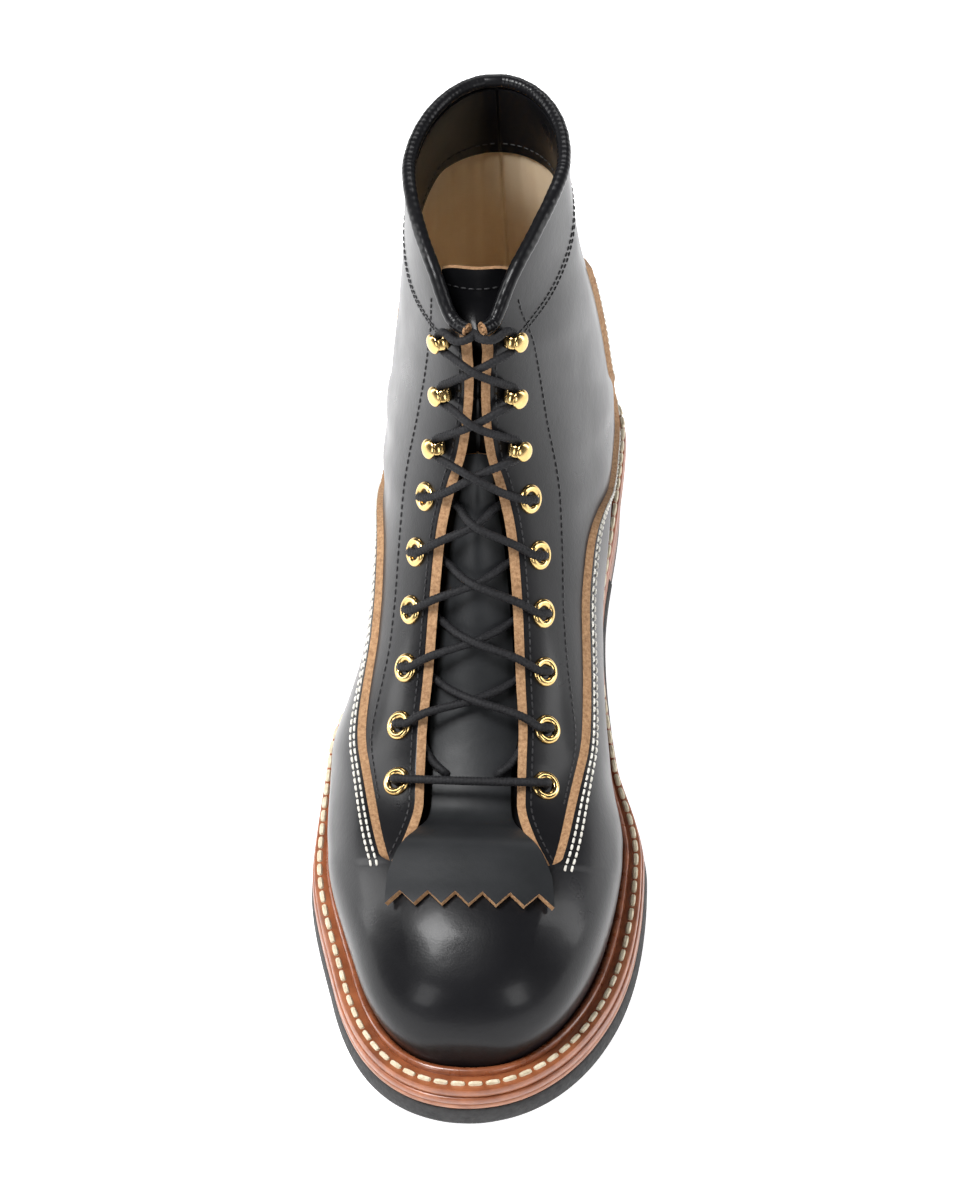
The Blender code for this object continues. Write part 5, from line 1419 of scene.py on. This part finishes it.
def make_facing_stitches():
    """Black rows beside the facings' edges, outside the eyelets, and round the cuff."""
    lines = []
    for side in (-1, 1):
        places = np.linspace(THROAT_PLACE + 0.012, 0.868, 320)
        arounds = around_at(places, throat_gap(places) + RAW_WIDTH + 0.0018)
        lines.append(surface_line(places, arounds, side, 0.0))
        places = np.linspace(0.365, 0.940, 300)
        lines.append(surface_line(places, column(EYELET_STITCHES)(places), side, 0.0))
        for shift in (0.0, 0.006):
            arounds = np.linspace(0.17, 1.0, 260)
            lines.append(surface_line(column(CUFF_STITCHES)(arounds) + shift, arounds, side, 0.0))
    return stitches("facing_stitches", lines)


def make_tongue_stitches():
    points = tongue_points(np.full(60, 0.965), np.linspace(-0.88, 0.88, 60), 0.0)
    return stitches("tongue_stitches", [(points, np.tile([0.0, -0.6, 0.8], (60, 1)))])


def make_lining_stitches():
    """Stitches along the collar band's lower edge, inside the leg."""
    arounds = np.linspace(0.25, 1.0, 240)
    places = band_place(arounds) + 0.006
    lines = []
    for side in (-1, 1):
        points = offset_surface(places, arounds, side, -LEATHER - 0.0010)
        lines.append((points, -surface_normal(places, arounds, side)))
    return stitches("band_stitches", lines)


def dress_boot():
    hand_in(make_vamp(), "black_leather", "upper")
    hand_in(make_quarters(), "black_leather", "upper")
    hand_in(make_lining(), "tan_leather", "upper")
    hand_in(make_collar_band(), "black_leather", "upper")
    hand_in(make_binding(), "black_leather", "collar_binding")
    hand_in(make_roll_ends(), "tan_leather")
    hand_in(make_kiltie(), "black_leather", "kiltie")
    hand_in(make_tongue(), "black_leather", "tongue")
    hand_in(make_insole(), "tan_leather", "insole")
    welt, stitch_lines = make_welt()
    hand_in(welt, "brown_leather", "welt")
    hand_in(make_welt_stitches(stitch_lines), "waxed_cord")
    hand_in(make_midsole(), "brown_leather", "midsole")
    hand_in(make_outsole(), "rubber", "outsole")
    bands = ["heel_leather", "midsole_leather"]
    stack = make_heel_piece("heel_lifts", bands, TOP_LIFT_THICKNESS + GAP, None, 6)
    hand_in(stack, "brown_leather", "heel_stack")
    hand_in(make_heel_piece("heel_tread", ["tread_rubber"], 0.0, TOP_LIFT_THICKNESS, 1), "rubber", "top_lift")
    rows = lacing_rows()
    for row, (place, x) in enumerate(rows):
        for side, word in ((-1, "lateral"), (1, "medial")):
            if row < EYELET_ROWS:
                label = f"{word}_{row + 1}"
                hand_in(make_eyelet(f"ring_{label}", place, x, side), "brass", f"eyelet_{label}")
            else:
                label = f"{word}_{row + 1 - EYELET_ROWS}"
                hand_in(make_hook(f"speed_{label}", place, x, side), "brass", f"hook_{label}")
    hand_in(make_cord("lace_first", lace_half(rows, -1)), "waxed_cord", "lace")
    hand_in(make_cord("lace_second", lace_half(rows, 1)), "waxed_cord", "lace")
    hand_in(make_cord("lace_first_bar", lace_bar(*rows[0])), "waxed_cord", "lace_bar")
    for make in (make_vamp_stitches, make_facing_stitches, make_tongue_stitches, make_lining_stitches):
        hand_in(make(), "waxed_cord")


# Stage, lights and camera

IMAGE_LONG_SIDE = 1200
FOCAL_PIXELS = 4343
SENSOR_WIDTH = 36.0
CAMERA_PLACE = Vector((0.1048, -1.0298, 1.2047))
CAMERA_YAW = math.radians(-1.98)
CAMERA_TILT = math.radians(50.4)
BOOT_PIXEL = (262 - 480, 600 - 590)
FLOOR_HEIGHT = -0.0002
FLOOR_HALF = 4

BOOT_MIDDLE = (0.0, -0.08, 0.08)

# Columns: name, place, size, power in watts, what it points at
LIGHTS = (
    ("left", (-1.25, 0.15, 0.55), (0.28, 1.2), 8, BOOT_MIDDLE),
    ("right", (1.25, 0.10, 0.60), (0.28, 1.2), 7, BOOT_MIDDLE),
    ("back", (0.0, 1.3, 1.1), (1.2, 0.3), 7, BOOT_MIDDLE),
    ("front_left", (-0.55, -0.95, 0.55), (0.30, 0.5), 2.6, BOOT_MIDDLE),
    ("front_right", (0.60, -0.95, 0.55), (0.30, 0.5), 2.6, BOOT_MIDDLE),
    ("inside", (-0.50, -0.30, 1.4), (0.5, 0.5), 25, (0.0, 0.0, 0.2)),
)
WORLD_STOPS = ((0.02, (0.50, 0.50, 0.51)), (0.25, (0.13, 0.13, 0.14)), (0.60, (0.035, 0.035, 0.04)))


def make_camera():
    """The photograph's own camera, turned on its spot to centre the one boot."""
    level = math.cos(CAMERA_TILT)
    forward = Vector((math.sin(CAMERA_YAW) * level, math.cos(CAMERA_YAW) * level, -math.sin(CAMERA_TILT)))
    right = Vector((math.cos(CAMERA_YAW), -math.sin(CAMERA_YAW), 0))
    up = right.cross(forward)
    aim = (forward * FOCAL_PIXELS + right * BOOT_PIXEL[0] + up * BOOT_PIXEL[1]).normalized()
    right = aim.cross(up).normalized()
    up = right.cross(aim)
    data = bpy.data.cameras.new("camera")
    data.sensor_fit = "AUTO"
    data.sensor_width = SENSOR_WIDTH
    data.lens = SENSOR_WIDTH * FOCAL_PIXELS / IMAGE_LONG_SIDE
    data.clip_end = 20
    camera = bpy.data.objects.new("camera", data)
    turn = Matrix((right, up, -aim)).transposed()
    camera.matrix_world = Matrix.Translation(CAMERA_PLACE) @ turn.to_4x4()
    bpy.context.scene.collection.objects.link(camera)
    bpy.context.scene.camera = camera


def make_light(name, place, size, power, target):
    data = bpy.data.lights.new(name, "AREA")
    data.shape = "RECTANGLE"
    data.size, data.size_y = size
    data.energy = power
    light = bpy.data.objects.new(name, data)
    light.location = place
    light.rotation_euler = (Vector(target) - Vector(place)).to_track_quat("-Z", "Y").to_euler()
    bpy.context.scene.collection.objects.link(light)


def make_world():
    """A white room that darkens overhead, so that the leather's top faces stay deep black."""
    world = bpy.data.worlds.new("studio")
    world.use_nodes = True
    tree = world.node_tree
    along = node(tree, "ShaderNodeTexCoord").outputs["Generated"]
    height = node(tree, "ShaderNodeSeparateXYZ", Vector=along).outputs["Z"]
    tree.links.new(ramp(tree, height, WORLD_STOPS), tree.nodes["Background"].inputs["Color"])
    tree.nodes["Background"].inputs["Strength"].default_value = 0.9
    bpy.context.scene.world = world


def make_stage():
    far = FLOOR_HALF
    corners = [(x, y, FLOOR_HEIGHT) for x, y in ((-far, -far), (far, -far), (far, far), (-far, far))]
    make_object("floor", corners, [(0, 1, 2, 3)], ["floor_paper"])
    make_world()
    for light in LIGHTS:
        make_light(*light)
    bpy.context.scene.view_settings.view_transform = "Standard"


dress_boot()
make_camera()
make_stage()
